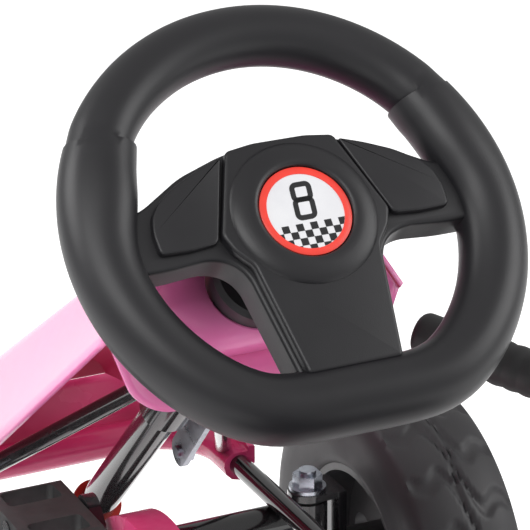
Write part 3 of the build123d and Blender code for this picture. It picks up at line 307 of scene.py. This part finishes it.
def makePiece(name, bm, finishNames, standsFor, place=None, sharpAngle=38, recalc=True):
    if place is not None:
        bmesh.ops.transform(bm, matrix=place, verts=bm.verts)
    if recalc:
        bmesh.ops.recalc_face_normals(bm, faces=bm.faces)
    mesh = bpy.data.meshes.new(name)
    bm.to_mesh(mesh)
    bm.free()
    for finishName in finishNames:
        mesh.materials.append(materials[finishName])
    mesh.polygons.foreach_set("use_smooth", [True] * len(mesh.polygons))
    mesh.set_sharp_from_angle(angle=radians(sharpAngle))
    piece = bpy.data.objects.new(name, mesh)
    bpy.context.scene.collection.objects.link(piece)
    node = standsFor[0]
    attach(piece, bodyOf[node])
    return piece


def outlineEdges(bm, points, closed=True):
    verts = [bm.verts.new(p) for p in points]
    pairs = list(zip(verts, verts[1:] + verts[:1])) if closed else list(zip(verts, verts[1:]))
    return verts, [bm.edges.new(pair) for pair in pairs]


def plate(points, top, bottom, cornerRadius, edgeRadius, edgeSegments=4):  # a flat rounded plate
    bm = bmesh.new()
    verts, edges = outlineEdges(bm, [(x * mm, y * mm, bottom * mm) for x, y in points])
    if cornerRadius:
        bmesh.ops.bevel(bm, geom=verts, offset=cornerRadius * mm, segments=5, affect="VERTICES", profile=0.5, material=-1)
    face = bmesh.ops.contextual_create(bm, geom=bm.edges[:])["faces"][0]
    raised = bmesh.ops.extrude_face_region(bm, geom=[face])["geom"]
    topVerts = [v for v in raised if isinstance(v, bmesh.types.BMVert)]
    bmesh.ops.translate(bm, verts=topVerts, vec=(0, 0, (top - bottom) * mm))
    rimEdges = [e for e in bm.edges if all(v in topVerts for v in e.verts)]
    if edgeRadius:
        bmesh.ops.bevel(bm, geom=rimEdges, offset=edgeRadius * mm, segments=edgeSegments, affect="EDGES", profile=0.5,
                        material=-1)
    return bm


def mirrored(points):
    return points + [(-x, y) for x, y in reversed(points)]


# ---- steering wheel rim: one closed tube with thicker grips and a flat foot
rimSpec = dict(
    outerRadius=136, plainSection=17.6, gripSection=19.6, depth=17, flatHeight=126, gripTop=33,
    stations=168, sides=36, thumbSwell=5.5, thumbAngle=17, flatHalfAngle=24,
)


def rimSection(angle):  # the tube's radius at an angle above the wheel's right-hand side, both sides alike
    overTop = degrees(asin(sin(radians(angle))))
    gap = rimSpec["gripTop"] - overTop
    step = 1 / (1 + exp(-gap * 2.2))
    dip = exp(-((gap + 0.6) / 0.9) ** 2) * 0.7
    return rimSpec["plainSection"] + (rimSpec["gripSection"] - rimSpec["plainSection"]) * step - dip


def rimOuter(angle):  # the distance of the outer edge, cut short by the flat foot
    fromFoot = radians(angle + 90)
    reach = cos(fromFoot)
    if reach <= 0.2:
        return rimSpec["outerRadius"]
    flat = rimSpec["flatHeight"] / reach
    sharp = 26
    return (rimSpec["outerRadius"] ** -sharp + flat ** -sharp) ** (-1 / sharp)


def swell(angle, side):  # a rest for the thumb, inside and in front
    overTop = degrees(asin(sin(radians(angle))))
    along = exp(-((overTop - rimSpec["thumbAngle"]) / 15) ** 2)
    across = max(0.0, cos(side - radians(150))) ** 2
    return rimSpec["thumbSwell"] * along * across


bm = bmesh.new()
rings = []
for i in range(rimSpec["stations"]):
    angle = 360 * i / rimSpec["stations"] - 90
    section = rimSection(angle)
    radius = rimOuter(angle) - section
    ahead = radians(angle + 0.5)
    behind = radians(angle - 0.5)
    aheadRadius = rimOuter(angle + 0.5) - rimSection(angle + 0.5)
    behindRadius = rimOuter(angle - 0.5) - rimSection(angle - 0.5)
    run = Vector((aheadRadius * cos(ahead) - behindRadius * cos(behind),
                  aheadRadius * sin(ahead) - behindRadius * sin(behind), 0)).normalized()
    outward = run.cross(Vector((0, 0, 1)))
    made = bmesh.ops.create_circle(bm, segments=rimSpec["sides"], radius=1)["verts"]
    centre = Vector((radius * cos(radians(angle)), radius * sin(radians(angle)), -rimSpec["depth"]))
    for v in made:
        side = atan2(v.co.y, v.co.x)
        reach = section + swell(angle, side)
        v.co = (centre + (outward * cos(side) + Vector((0, 0, 1)) * sin(side)) * reach) * mm
    rings.append({e for v in made for e in v.link_edges})
for here, there in zip(rings, rings[1:] + rings[:1]):
    bmesh.ops.bridge_loops(bm, edges=list(here | there))
rim = makePiece("wheelRimGrip", bm, ["wheelPlastic"], ["wheel_rim"], wheelFrame, 60)
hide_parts("wheel_rim")

# ---- the moulded core behind the cover: side spokes, foot spoke and boss
coreSpec = dict(front=-9, back=-29, corner=5, edge=2.6)
coreOutline = mirrored([(0, 48.5), (20, 47.5), (36, 44.5), (62, 36), (88, 21), (112, 14), (112, -17), (84, -17), (60, -15),
                        (48, -19), (41, -28), (31, -92), (29, -112)][1:])
coreOutline = [(0, 48.5)] + coreOutline
bm = plate(coreOutline, coreSpec["front"], coreSpec["back"], coreSpec["corner"], coreSpec["edge"])
core = makePiece("wheelCore", bm, ["wheelPlastic"], ["wheel_rim"], wheelFrame, 45)
bossSpec = dict(radius=25, front=-27, back=-62, lip=3)
bm = bmesh.new()
bossHeight = bossSpec["front"] - bossSpec["back"]
bmesh.ops.create_cone(bm, cap_ends=True, segments=72, radius1=bossSpec["radius"] * mm,
                      radius2=(bossSpec["radius"] + 5) * mm, depth=bossHeight * mm)
bmesh.ops.translate(bm, verts=bm.verts, vec=(0, 0, (bossSpec["front"] + bossSpec["back"]) / 2 * mm))
bmesh.ops.bevel(bm, geom=[e for e in bm.edges if e.calc_face_angle(0) > 1], offset=bossSpec["lip"] * mm, segments=4,
                affect="EDGES", profile=0.5, material=-1)
boss = makePiece("wheelBoss", bm, ["wheelPlastic"], ["wheel_rim"], wheelFrame, 45)

# ---- centre cover with its round bezel
coverSpec = dict(front=-2.6, back=-9.5, corner=2.5, edge=2.2)
coverOutline = mirrored([(16, 46.6), (33, 44.2), (51, -5), (47, -15), (38.5, -25), (28.5, -92)])
bm = plate(coverOutline, coverSpec["front"], coverSpec["back"], coverSpec["corner"], coverSpec["edge"])
cover = makePiece("centreCover", bm, ["wheelPlastic"], ["centre_cover"], wheelFrame, 45)
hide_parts("centre_cover")
bezelProfile = [(43.5, -3.4), (42.6, -2.0), (41.2, -0.9), (38, 0.5), (34, 1.5), (30.5, 1.9), (28.6, 1.6), (27.6, 0.6), (27.3, -1.5)]
bm = bmesh.new()
verts, edges = outlineEdges(bm, [(r * mm, 0, z * mm) for r, z in bezelProfile], closed=False)
bmesh.ops.spin(bm, geom=verts + edges, cent=(0, 0, 0), axis=(0, 0, 1), angle=2 * pi, steps=96, use_merge=True)
bezel = makePiece("badgeBezel", bm, ["wheelPlastic"], ["centre_cover"], wheelFrame, 50)

# ---- side panels, each let into its spoke
panelSpec = dict(front=-4.6, back=-10, corner=3, edge=1.6)
panelOutline = [(35.5, 42.6), (50, 37.6), (66, 30.5), (80, 21.5), (86, 14), (88.5, 4), (88, -9), (70, -9.5), (53.2, -8)]
for side, node, name in ((1, "spoke_panel_right", "panelRight"), (-1, "spoke_panel_left", "panelLeft")):
    bm = plate([(side * x, y) for x, y in panelOutline], panelSpec["front"], panelSpec["back"], panelSpec["corner"],
               panelSpec["edge"])
    panel = makePiece(name, bm, ["wheelPlastic"], [node], wheelFrame, 45)
    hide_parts(node)

# ---- badge: red border, white face, a plain numeral and a chequer band
badgeSpec = dict(radius=26.8, border=4.2, face=-0.4, ring=0.05, inkLift=0.12)
bm = bmesh.new()
ringProfile = [(badgeSpec["radius"], badgeSpec["ring"] - 1.2), (badgeSpec["radius"], badgeSpec["ring"] - 0.15),
               (badgeSpec["radius"] - 0.2, badgeSpec["ring"]), (badgeSpec["radius"] - badgeSpec["border"] + 0.2, badgeSpec["ring"]),
               (badgeSpec["radius"] - badgeSpec["border"], badgeSpec["ring"] - 0.2),
               (badgeSpec["radius"] - badgeSpec["border"], badgeSpec["ring"] - 1.2)]
verts, edges = outlineEdges(bm, [(r * mm, 0, z * mm) for r, z in ringProfile])
bmesh.ops.spin(bm, geom=verts + edges, cent=(0, 0, 0), axis=(0, 0, 1), angle=2 * pi, steps=96, use_merge=True)
badgeBorder = makePiece("badgeBorder", bm, ["badgeRed"], ["badge_ring"], wheelFrame, 40)
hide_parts("badge_ring")
faceRadius = badgeSpec["radius"] - badgeSpec["border"]
bm = bmesh.new()
bmesh.ops.create_cone(bm, cap_ends=True, segments=96, radius1=faceRadius * mm, radius2=faceRadius * mm, depth=1 * mm)
bmesh.ops.translate(bm, verts=bm.verts, vec=(0, 0, (badgeSpec["face"] - 0.5) * mm))
badgeFace = makePiece("badgeFace", bm, ["badgeWhite"], ["badge_disc"], wheelFrame, 30)
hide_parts("badge_disc")
badgeTurn = Matrix.Rotation(radians(-2), 4, "Z")


def inkBlock(bm, corners, lift):  # a thin printed shape
    verts, edges = outlineEdges(bm, [(x * mm, y * mm, badgeSpec["face"] * mm) for x, y in corners])
    face = bmesh.ops.contextual_create(bm, geom=edges)["faces"][0]
    top = bmesh.ops.extrude_face_region(bm, geom=[face])["geom"]
    bmesh.ops.translate(bm, verts=[v for v in top if isinstance(v, bmesh.types.BMVert)], vec=(0, 0, lift * mm))
    return verts


inkSpec = dict(stroke=3.1, half=6.6, top=17.8, waist=5.6, foot=-5.2, corner=3.9, square=4.3, rows=3, bandTop=-7.0, lean=0.1)
bm = bmesh.new()
square = inkSpec["square"]
for row in range(inkSpec["rows"] + 1):
    for column in range(-6, 6):
        if (row + column) % 2 == 0:
            left, top = column * square, inkSpec["bandTop"] - row * square
            inkBlock(bm, [(left, top - square), (left + square, top - square), (left + square, top), (left, top)],
                     badgeSpec["inkLift"])
for cut in range(72):  # trims the band to the round face
    turn = 2 * pi * cut / 72
    outside = Vector((cos(turn), sin(turn), 0))
    bmesh.ops.bisect_plane(bm, geom=bm.verts[:] + bm.edges[:] + bm.faces[:], plane_co=outside * (faceRadius - 0.15) * mm,
                           plane_no=outside, clear_outer=True)
bmesh.ops.holes_fill(bm, edges=[e for e in bm.edges if e.is_boundary], sides=0)
badgeInk = makePiece("badgeInk", bm, ["badgeInk"], ["badge_disc"], wheelFrame, 30)


def roundedLoop(half, low, high, radius):  # the corner points of an upright loop, with quarter-round corners
    points = []
    for across, up, start in ((half, high, 0), (-half, high, 90), (-half, low, 180), (half, low, 270)):
        cornerX, cornerY = across - radius * (1 if across > 0 else -1), up - radius * (1 if up == high else -1)
        for step in range(6):
            turn = radians(start + 18 * step)
            points.append((cornerX + radius * cos(turn), cornerY + radius * sin(turn)))
    return points


bm = bmesh.new()
for low, high in ((inkSpec["foot"], inkSpec["waist"] + inkSpec["stroke"]), (inkSpec["waist"], inkSpec["top"])):
    stroke = inkSpec["stroke"]
    walls = []
    for inset, lift in ((0, 0), (0, badgeSpec["inkLift"]), (stroke, badgeSpec["inkLift"]), (stroke, 0)):
        points = roundedLoop(inkSpec["half"] - inset, low + inset, high - inset, max(0.5, inkSpec["corner"] - inset))
        walls.append([bm.verts.new(((x + y * inkSpec["lean"]) * mm, y * mm, (badgeSpec["face"] + lift) * mm))
                      for x, y in points])
    for here, there in zip(walls, walls[1:] + walls[:1]):
        for i, j in zip(range(len(here)), [*range(1, len(here)), 0]):
            bm.faces.new((here[i], here[j], there[j], there[i]))
numeral = makePiece("badgeNumeral", bm, ["badgeInk"], ["badge_disc"], wheelFrame, 30)
print("stage: steering wheel")

# ---- fairing: a thin moulded hood over the column
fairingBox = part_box("fairing")
fairingSpec = dict(
    topHalf=50, bottomHalf=95, crest=520.4, depth=69, slope=0.6694, flare=0.097, rearX=114, noseX=490, cutZ=253.3,
    shoulder=20, wall=3.2, steps=26,
)


def lean(bm):  # tips the straight hood down towards the nose, its lower edge a little more than its crest
    for v in bm.verts:
        along = v.co.x / mm - fairingSpec["rearX"]
        drop = (fairingSpec["crest"] - v.co.z / mm) / fairingSpec["depth"]
        v.co.z -= along * (fairingSpec["slope"] + fairingSpec["flare"] * max(0, drop)) * mm


def hoodProfile(bm, inset, x):
    top, bottom = fairingSpec["topHalf"] - inset * 0.8, fairingSpec["bottomHalf"] - inset
    crest, edge = fairingSpec["crest"] - inset, fairingSpec["crest"] - fairingSpec["depth"]
    verts, edges = outlineEdges(bm, [(x * mm, y * mm, z * mm) for y, z in
                                     ((bottom, edge), (top, crest), (-top, crest), (-bottom, edge))], closed=False)
    bmesh.ops.bevel(bm, geom=verts[1:3], offset=fairingSpec["shoulder"] * 0.55 * mm, segments=8, affect="VERTICES",
                    profile=0.5, material=-1)
    longEdges = [e for e in bm.edges if e.calc_length() > 20 * mm]
    bmesh.ops.subdivide_edges(bm, edges=longEdges, cuts=5)
    return bm.edges[:]


bm = bmesh.new()
edges = hoodProfile(bm, 0, fairingSpec["rearX"])
length = fairingSpec["noseX"] - fairingSpec["rearX"]
for i in range(fairingSpec["steps"]):
    made = bmesh.ops.extrude_edge_only(bm, edges=edges)["geom"]
    bmesh.ops.translate(bm, verts=[g for g in made if isinstance(g, bmesh.types.BMVert)],
                        vec=(length / fairingSpec["steps"] * mm, 0, 0))
    edges = [g for g in made if isinstance(g, bmesh.types.BMEdge)]
lean(bm)
bmesh.ops.bisect_plane(bm, geom=bm.verts[:] + bm.edges[:] + bm.faces[:], plane_co=(0, 0, fairingSpec["cutZ"] * mm),
                       plane_no=(0, 0, -1), clear_outer=True)
noseEdges = [e for e in bm.edges if e.is_boundary and all(v.co.x > (fairingSpec["noseX"] - 0.5) * mm for v in e.verts)]
bmesh.ops.contextual_create(bm, geom=noseEdges)
for v in bm.verts:
    v.co.z = max(v.co.z, fairingSpec["cutZ"] * mm)
bmesh.ops.recalc_face_normals(bm, faces=bm.faces)
upFace = max(bm.faces, key=lambda f: f.calc_center_median().z)
if upFace.normal.z < 0:
    bmesh.ops.reverse_faces(bm, faces=bm.faces)
for face in bm.faces:
    face.material_index = 0
hood = makePiece("fairingHood", bm, ["pinkGloss", "pinkPaintedShade"], ["fairing"], None, 40, False)
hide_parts("fairing")
shell = hood.modifiers.new("wall", "SOLIDIFY")
shell.thickness = fairingSpec["wall"] * mm
shell.offset = -1
# the inner face of the wall takes the second finish, the darker pink of painted shade
shell.material_offset = 1
shell.use_even_offset = True

# the rear panel sinks in a bowl towards the column's collar
bowlSpec = dict(seatRadius=29.5, seatAlong=97, skirtHalf=74, skirtZ=398, middleZ=462, wall=2.4)
bm = bmesh.new()
hoodProfile(bm, fairingSpec["wall"] * 0.5, fairingSpec["rearX"] + 0.4)
ends = sorted((v for v in bm.verts if len(v.link_edges) == 1), key=lambda v: v.co.y)
skirt = [bm.verts.new(((fairingSpec["rearX"] + 0.4) * mm, side * bowlSpec["skirtHalf"] * mm, bowlSpec["skirtZ"] * mm))
         for side in (-1, 1)]
skirtEdges = [bm.edges.new(pair) for pair in ((ends[0], skirt[0]), (skirt[0], skirt[1]), (skirt[1], ends[1]))]
bmesh.ops.bevel(bm, geom=skirt, offset=22 * mm, segments=8, affect="VERTICES", profile=0.5, material=-1)
bmesh.ops.subdivide_edges(bm, edges=[e for e in bm.edges if e.calc_length() > 24 * mm], cuts=6)
ring = bm.edges[:]
middle = Vector((0, 0, bowlSpec["middleZ"] * mm))
axisPoint = hub - towardDriver * (bowlSpec["seatAlong"] * mm)
stages = [(0.95, 0.6), (0.9, 2.6), (0.82, 6.5), (0.74, 11), (0.68, 15)]
for scale, depth in stages:
    made = bmesh.ops.extrude_edge_only(bm, edges=ring)["geom"]
    inner = [g for g in made if isinstance(g, bmesh.types.BMVert)]
    ring = [g for g in made if isinstance(g, bmesh.types.BMEdge)]
    previous = stages[stages.index((scale, depth)) - 1] if scale < 0.95 else (1.0, 0.0)
    for v in inner:
        v.co.y *= scale / previous[0]
        v.co.z = middle.z + (v.co.z - middle.z) * scale / previous[0]
        v.co.x += (depth - previous[1]) * mm
made = bmesh.ops.extrude_edge_only(bm, edges=ring)["geom"]
inner = [g for g in made if isinstance(g, bmesh.types.BMVert)]
for v in inner:  # the last ring closes round the collar
    turn = atan2(v.co.z - middle.z, v.co.y)
    across, up = cos(turn) * bowlSpec["seatRadius"], sin(turn) * bowlSpec["seatRadius"]
    v.co = axisPoint + Vector((0, across, 0)) * mm + wheelUp * up * mm
bmesh.ops.recalc_face_normals(bm, faces=bm.faces)
if sum(f.normal.x * f.calc_area() for f in bm.faces) > 0:
    bmesh.ops.reverse_faces(bm, faces=bm.faces)
bowl = makePiece("fairingBowl", bm, ["pinkGloss", "pinkPaintedShade"], ["fairing"], None, 50, False)
shell = bowl.modifiers.new("wall", "SOLIDIFY")
shell.thickness = bowlSpec["wall"] * mm
shell.offset = -1
# the inner face of the wall takes the second finish, the darker pink of painted shade
shell.material_offset = 1
print("stage: fairing")

# ---- bumper band with its sleeve round the front tube
bandSpec = dict(sleeve=12, tubeZ=198, bandTop=247, tailX=411, bendX=438, half=124, bend=50, endX=488, bendSteps=14, runSteps=8)
bandProfile = [(12, 198), (12.0, 204), (12.0, 236), (11.4, 243), (9.6, 246.9), (7.6, 244.5), (7.0, 240), (6.8, 214), (5.4, 208.7),
               (0, 210), (-6, 208.4), (-10.4, 204), (-12, 198), (-10.4, 192), (-6, 187.6), (0, 186), (6, 187.6), (10.4, 192)]
bm = bmesh.new()
verts, ring = outlineEdges(bm, [(bandSpec["tailX"] * mm, (bandSpec["half"] + out) * mm, z * mm) for out, z in bandProfile])
tail = bmesh.ops.contextual_create(bm, geom=ring)["faces"]


def pushRing(edges, vec, steps):
    for i in range(steps):
        made = bmesh.ops.extrude_edge_only(bm, edges=edges)["geom"]
        bmesh.ops.translate(bm, verts=[g for g in made if isinstance(g, bmesh.types.BMVert)], vec=Vector(vec) * mm / steps)
        edges = [g for g in made if isinstance(g, bmesh.types.BMEdge)]
    return edges


def spinRing(edges, centre, steps):
    geom = list({v for e in edges for v in e.verts}) + edges
    made = bmesh.ops.spin(bm, geom=geom, cent=Vector(centre) * mm, axis=(0, 0, 1), angle=-pi / 2, steps=steps, use_merge=False)
    return [g for g in made["geom_last"] if isinstance(g, bmesh.types.BMEdge)]


inside = bandSpec["half"] - bandSpec["bend"]
ring = pushRing(ring, (bandSpec["bendX"] - bandSpec["tailX"], 0, 0), bandSpec["runSteps"])
ring = spinRing(ring, (bandSpec["bendX"], inside, 0), bandSpec["bendSteps"])
ring = pushRing(ring, (0, -2 * inside, 0), 16)
ring = spinRing(ring, (bandSpec["bendX"], -inside, 0), bandSpec["bendSteps"])
ring = pushRing(ring, (bandSpec["tailX"] - bandSpec["bendX"], 0, 0), bandSpec["runSteps"])
bmesh.ops.contextual_create(bm, geom=ring)
bmesh.ops.remove_doubles(bm, verts=bm.verts, dist=0.01 * mm)
for v in bm.verts:  # the band rises from the sleeve's ends in a curve
    along = min(1.0, max(0.0, (v.co.x / mm - bandSpec["tailX"]) / 36))
    limit = 211 + (bandSpec["bandTop"] - 211) * (3 * along ** 2 - 2 * along ** 3)
    above = v.co.z / mm - 207
    if above > 0:
        v.co.z = (207 + above * (limit - 207) / (bandSpec["bandTop"] - 207)) * mm
band = makePiece("bumperBand", bm, ["bumperPink"], ["front_spoiler"], None, 42)
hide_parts("front_spoiler")
print("stage: bumper band")

# ---- tyres: curved grooves moulded in the tread
tyreSpec = dict(radius=130, half=40, beadRadius=74, shoulder=112, turns=360, treadHalf=35, treadSteps=34, waves=20,
                bow=0.95, share=0.17, depth=2.4, blend=4, wander=3.2, middle=1.6)


def treadRadius(across):
    return tyreSpec["radius"] - 6.5 * (abs(across) / tyreSpec["treadHalf"]) ** 3


def grooveDepth(turn, across):  # curved side grooves and one wandering groove in the middle
    edge = (tyreSpec["treadHalf"] - abs(across)) / tyreSpec["blend"]
    sweep = tyreSpec["bow"] * sin(pi * across / 46) + 0.25 * sin(across / 5)
    wave = (tyreSpec["waves"] * turn / (2 * pi) + sweep) % 1
    nearest = min(wave, 1 - wave)
    side = max(0.0, 1 - (nearest / tyreSpec["share"]) ** 4)
    wander = across - tyreSpec["wander"] * sin(turn * tyreSpec["waves"] / 2)
    middle = max(0.0, 1 - (wander / tyreSpec["middle"]) ** 4)
    return tyreSpec["depth"] * max(side, middle) * min(1.0, max(0.0, edge))


half = tyreSpec["half"]
tread = [(-tyreSpec["treadHalf"] + 2 * tyreSpec["treadHalf"] * i / tyreSpec["treadSteps"]) for i in range(tyreSpec["treadSteps"] + 1)]
sideWall = [(half - 4, 74), (half - 1.2, 77), (half, 82), (half - 0.4, 92), (half, 101), (half, 108), (half - 1, 114), (half - 3, 119.5)]
lining = [(-26, 74), (-32, 86), (-32, 109), (-26, 118), (-18, 122), (18, 122), (26, 118), (32, 109), (32, 86), (26, 74)]
tyreProfile = ([(-w, r) for w, r in sideWall] + [(w, treadRadius(w)) for w in tread] + sideWall[::-1] + lining[::-1])
for corner in ("front_left", "front_right", "rear_left", "rear_right"):
    end, hand = corner.split("_")
    node = corner + "_tyre"
    tyreLow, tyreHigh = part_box(node)
    centre = (tyreLow + tyreHigh) / 2
    side = 1 if centre.y > 0 else -1
    bm = bmesh.new()
    verts, edges = outlineEdges(bm, [centre + Vector((0, side * w * mm, r * mm)) for w, r in tyreProfile])
    bmesh.ops.spin(bm, geom=verts + edges, cent=centre, axis=(0, 1, 0), angle=2 * pi, steps=tyreSpec["turns"], use_merge=True)
    for v in bm.verts:
        arm = v.co - centre
        reach = hypot(arm.x, arm.z)
        across = side * arm.y / mm
        if abs(across) < tyreSpec["treadHalf"] and reach > (tyreSpec["radius"] - 7) * mm:
            cutIn = grooveDepth(atan2(arm.x, arm.z), across) * mm
            v.co -= Vector((arm.x, 0, arm.z)) / reach * cutIn
    tyre = makePiece(end + hand.title() + "Tyre", bm, ["tyreRubber"], [node], None, 60)
    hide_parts(node)
print("stage: tyres")

# ---- seat: one moulded bucket with side wings, two pressed lines and a hand slot
seatLow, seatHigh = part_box("seat")
seatSpec = dict(half=144, wall=5, columns=80, rows=110, flat=0.6, slotHalf=42, slotLow=0.915, slotHigh=0.95,
                lineAt=0.36, lineWidth=0.03, lineDepth=2.2)
front, rear, floorLevel, crown = seatHigh.x / mm, seatLow.x / mm, seatLow.z / mm, seatHigh.z / mm
seatBends = [((front - 6, floorLevel + 22), (front - 30, floorLevel + 12), (front - 55, floorLevel + 7), (front - 90, floorLevel + 6)),
             ((front - 90, floorLevel + 6), (front - 140, floorLevel + 6), (front - 160, floorLevel + 6), (front - 200, floorLevel + 7)),
             ((front - 200, floorLevel + 7), (front - 245, floorLevel + 9), (rear + 92, floorLevel + 24), (rear + 78, floorLevel + 66)),
             ((rear + 78, floorLevel + 66), (rear + 64, floorLevel + 110), (rear + 32, crown - 80), (rear + 13, crown - 4))]


def seatPath(t):  # the seat's middle line and the way its wings stand
    place = min(3, int(t * 4))
    a, b, c, d = [Vector(p) for p in seatBends[place]]
    s = t * 4 - place
    point = a * (1 - s) ** 3 + b * 3 * s * (1 - s) ** 2 + c * 3 * s ** 2 * (1 - s) + d * s ** 3
    run = ((b - a) * (1 - s) ** 2 + (c - b) * 2 * s * (1 - s) + (d - c) * s ** 2).normalized()
    return point, Vector((-run.y, run.x)) * -1


bm = bmesh.new()
bmesh.ops.create_grid(bm, x_segments=seatSpec["columns"], y_segments=seatSpec["rows"], size=1)
slot = [f for f in bm.faces if abs(f.calc_center_median().x) * seatSpec["half"] < seatSpec["slotHalf"]
        and seatSpec["slotLow"] < (f.calc_center_median().y + 1) / 2 < seatSpec["slotHigh"]]
bmesh.ops.delete(bm, geom=slot, context="FACES")
for v in bm.verts:
    u, t = v.co.x, (v.co.y + 1) / 2
    point, stand = seatPath(t)
    share = max(0.0, (abs(u) - seatSpec["flat"]) / (1 - seatSpec["flat"]))
    wing = 26 + 84 * exp(-((t - 0.66) / 0.2) ** 2) + 18 * exp(-((t - 0.35) / 0.2) ** 2) - 12 * max(0.0, (t - 0.85) / 0.15)
    rise = wing * share ** 1.7 + 5 * (u / seatSpec["flat"]) ** 2 * (1 - share)
    press = seatSpec["lineDepth"] * exp(-((abs(u) - seatSpec["lineAt"]) / seatSpec["lineWidth"]) ** 2) * min(1, 8 * (1 - t), 8 * t)
    width = seatSpec["half"] * (1 - 0.12 * max(0.0, (t - 0.75) / 0.25) ** 2)
    across = width * (u - 0.05 * u * share ** 2)
    place = point + stand * (rise - press)
    drop = 34 * abs(u) ** 5 * max(0.0, (t - 0.9) / 0.1) ** 2
    v.co = Vector((place.x, across, place.y - drop)) * mm
if sum(f.normal.z for f in bm.faces) < 0:
    bmesh.ops.reverse_faces(bm, faces=bm.faces)
bm.normal_update()
if sum(f.normal.z for f in bm.faces) < 0:
    bmesh.ops.reverse_faces(bm, faces=bm.faces)
bucket = makePiece("bucketSeat", bm, ["seatPlastic"], ["seat"], None, 50, False)
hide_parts("seat")
shell = bucket.modifiers.new("wall", "SOLIDIFY")
shell.thickness = seatSpec["wall"] * mm
shell.offset = -1
shell.use_even_offset = True
print("stage: seat")

# ---- ribbed grip on the hand brake's lever
gripSpec = dict(axis=(137, 96, 25), length=113, radius=13.2, rib=0.7, bore=7.05, ribs=11, stations=132, end=6)
gripLow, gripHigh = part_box("brake_grip")
along = Vector(gripSpec["axis"]).normalized()
profile = []
for i in range(gripSpec["stations"] + 1):
    share = i / gripSpec["stations"]
    edge = min(share, 1 - share) * gripSpec["length"]
    rounding = gripSpec["end"] - (gripSpec["end"] ** 2 - max(0.0, gripSpec["end"] - edge) ** 2) ** 0.5
    ripple = gripSpec["rib"] * abs(sin(pi * gripSpec["ribs"] * share)) if 0.12 < share < 0.85 else gripSpec["rib"] * 0.5
    profile.append((gripSpec["radius"] + ripple - rounding, (share - 0.5) * gripSpec["length"]))
profile += [(gripSpec["bore"], gripSpec["length"] / 2), (gripSpec["bore"], -gripSpec["length"] / 2)]
bm = bmesh.new()
verts, edges = outlineEdges(bm, [(r * mm, 0, z * mm) for r, z in profile])
bmesh.ops.spin(bm, geom=verts + edges, cent=(0, 0, 0), axis=(0, 0, 1), angle=2 * pi, steps=48, use_merge=True)
gripPlace = Matrix.Translation((gripLow + gripHigh) / 2) @ along.to_track_quat("Z", "Y").to_matrix().to_4x4()
grip = makePiece("brakeGrip", bm, ["gripRubber"], ["brake_grip"], gripPlace, 45)
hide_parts("brake_grip")
print("stage: brake grip")

# ---- floor, lights and camera
floorSpec = dict(size=14, drop=0.0005)
bm = bmesh.new()
bmesh.ops.create_grid(bm, x_segments=2, y_segments=2, size=floorSpec["size"] / 2)
bmesh.ops.translate(bm, verts=bm.verts, vec=(0, 0, cadLow.z - floorSpec["drop"]))
floorMesh = bpy.data.meshes.new("floor")
bm.to_mesh(floorMesh)
bm.free()
floor = bpy.data.objects.new("floor", floorMesh)
bpy.context.scene.collection.objects.link(floor)
paper = bpy.data.materials.new("studioPaper")
paper.use_nodes = True
shader = paper.node_tree.nodes["Principled BSDF"]
shader.inputs["Roughness"].default_value = 0.9
shader.inputs["Base Color"].default_value = (0.93, 0.93, 0.93, 1)
shader.inputs["Emission Color"].default_value = (1, 1, 1, 1)
shader.inputs["Emission Strength"].default_value = 0.55
floorMesh.materials.append(paper)

world = bpy.data.worlds.new("studio")
world.use_nodes = True
tree = world.node_tree
backdrop = tree.nodes["Background"]
ray = addNode(tree, "ShaderNodeLightPath")
seen = addNode(tree, "ShaderNodeMapRange")
seen.inputs["To Min"].default_value = 0.5
seen.inputs["To Max"].default_value = 1.0
tree.links.new(ray.outputs["Is Camera Ray"], seen.inputs["Value"])
tree.links.new(seen.outputs["Result"], backdrop.inputs["Strength"])
backdrop.inputs["Color"].default_value = (1, 1, 1, 1)
bpy.context.scene.world = world

lampSpecs = {
    "keySoftbox": dict(place=(-0.9, 1.1, 2.0), aim=(0.1, 0, 0.4), size=(1.6, 1.0), power=19),
    "rearSoftbox": dict(place=(0.9, 1.5, 1.5), aim=(0.1, 0, 0.4), size=(1.4, 1.0), power=16),
    "sideSoftbox": dict(place=(-0.6, -1.7, 1.3), aim=(0.1, 0, 0.35), size=(1.2, 1.2), power=14),
}
for name, spec in lampSpecs.items():
    light = bpy.data.lights.new(name, "AREA")
    light.shape = "RECTANGLE"
    light.size, light.size_y = spec["size"]
    light.energy = spec["power"]
    lamp = bpy.data.objects.new(name, light)
    lamp.location = spec["place"]
    lamp.rotation_euler = (Vector(spec["aim"]) - Vector(spec["place"])).to_track_quat("-Z", "Y").to_euler()
    bpy.context.scene.collection.objects.link(lamp)

cameraSpec = dict(back=(-1.3793, 0.6741, 0.5875), lens=203.8, right=(-0.4279, -0.9038, -0.0058), up=(0.3359, -0.1650, 0.9273))
cameraData = bpy.data.cameras.new("studioCamera")
cameraData.lens = cameraSpec["lens"]
cameraData.sensor_width = 36
cameraData.clip_start = 0.05
camera = bpy.data.objects.new("studioCamera", cameraData)
bpy.context.scene.collection.objects.link(camera)
right, up = Vector(cameraSpec["right"]).normalized(), Vector(cameraSpec["up"]).normalized()
camera.matrix_world = Matrix.Translation(hub + Vector(cameraSpec["back"])) @ Matrix((right, up, right.cross(up))).transposed().to_4x4()
bpy.context.scene.camera = camera
bpy.context.scene.view_settings.view_transform = "Standard"
print("stage: studio")

print("stage: done")
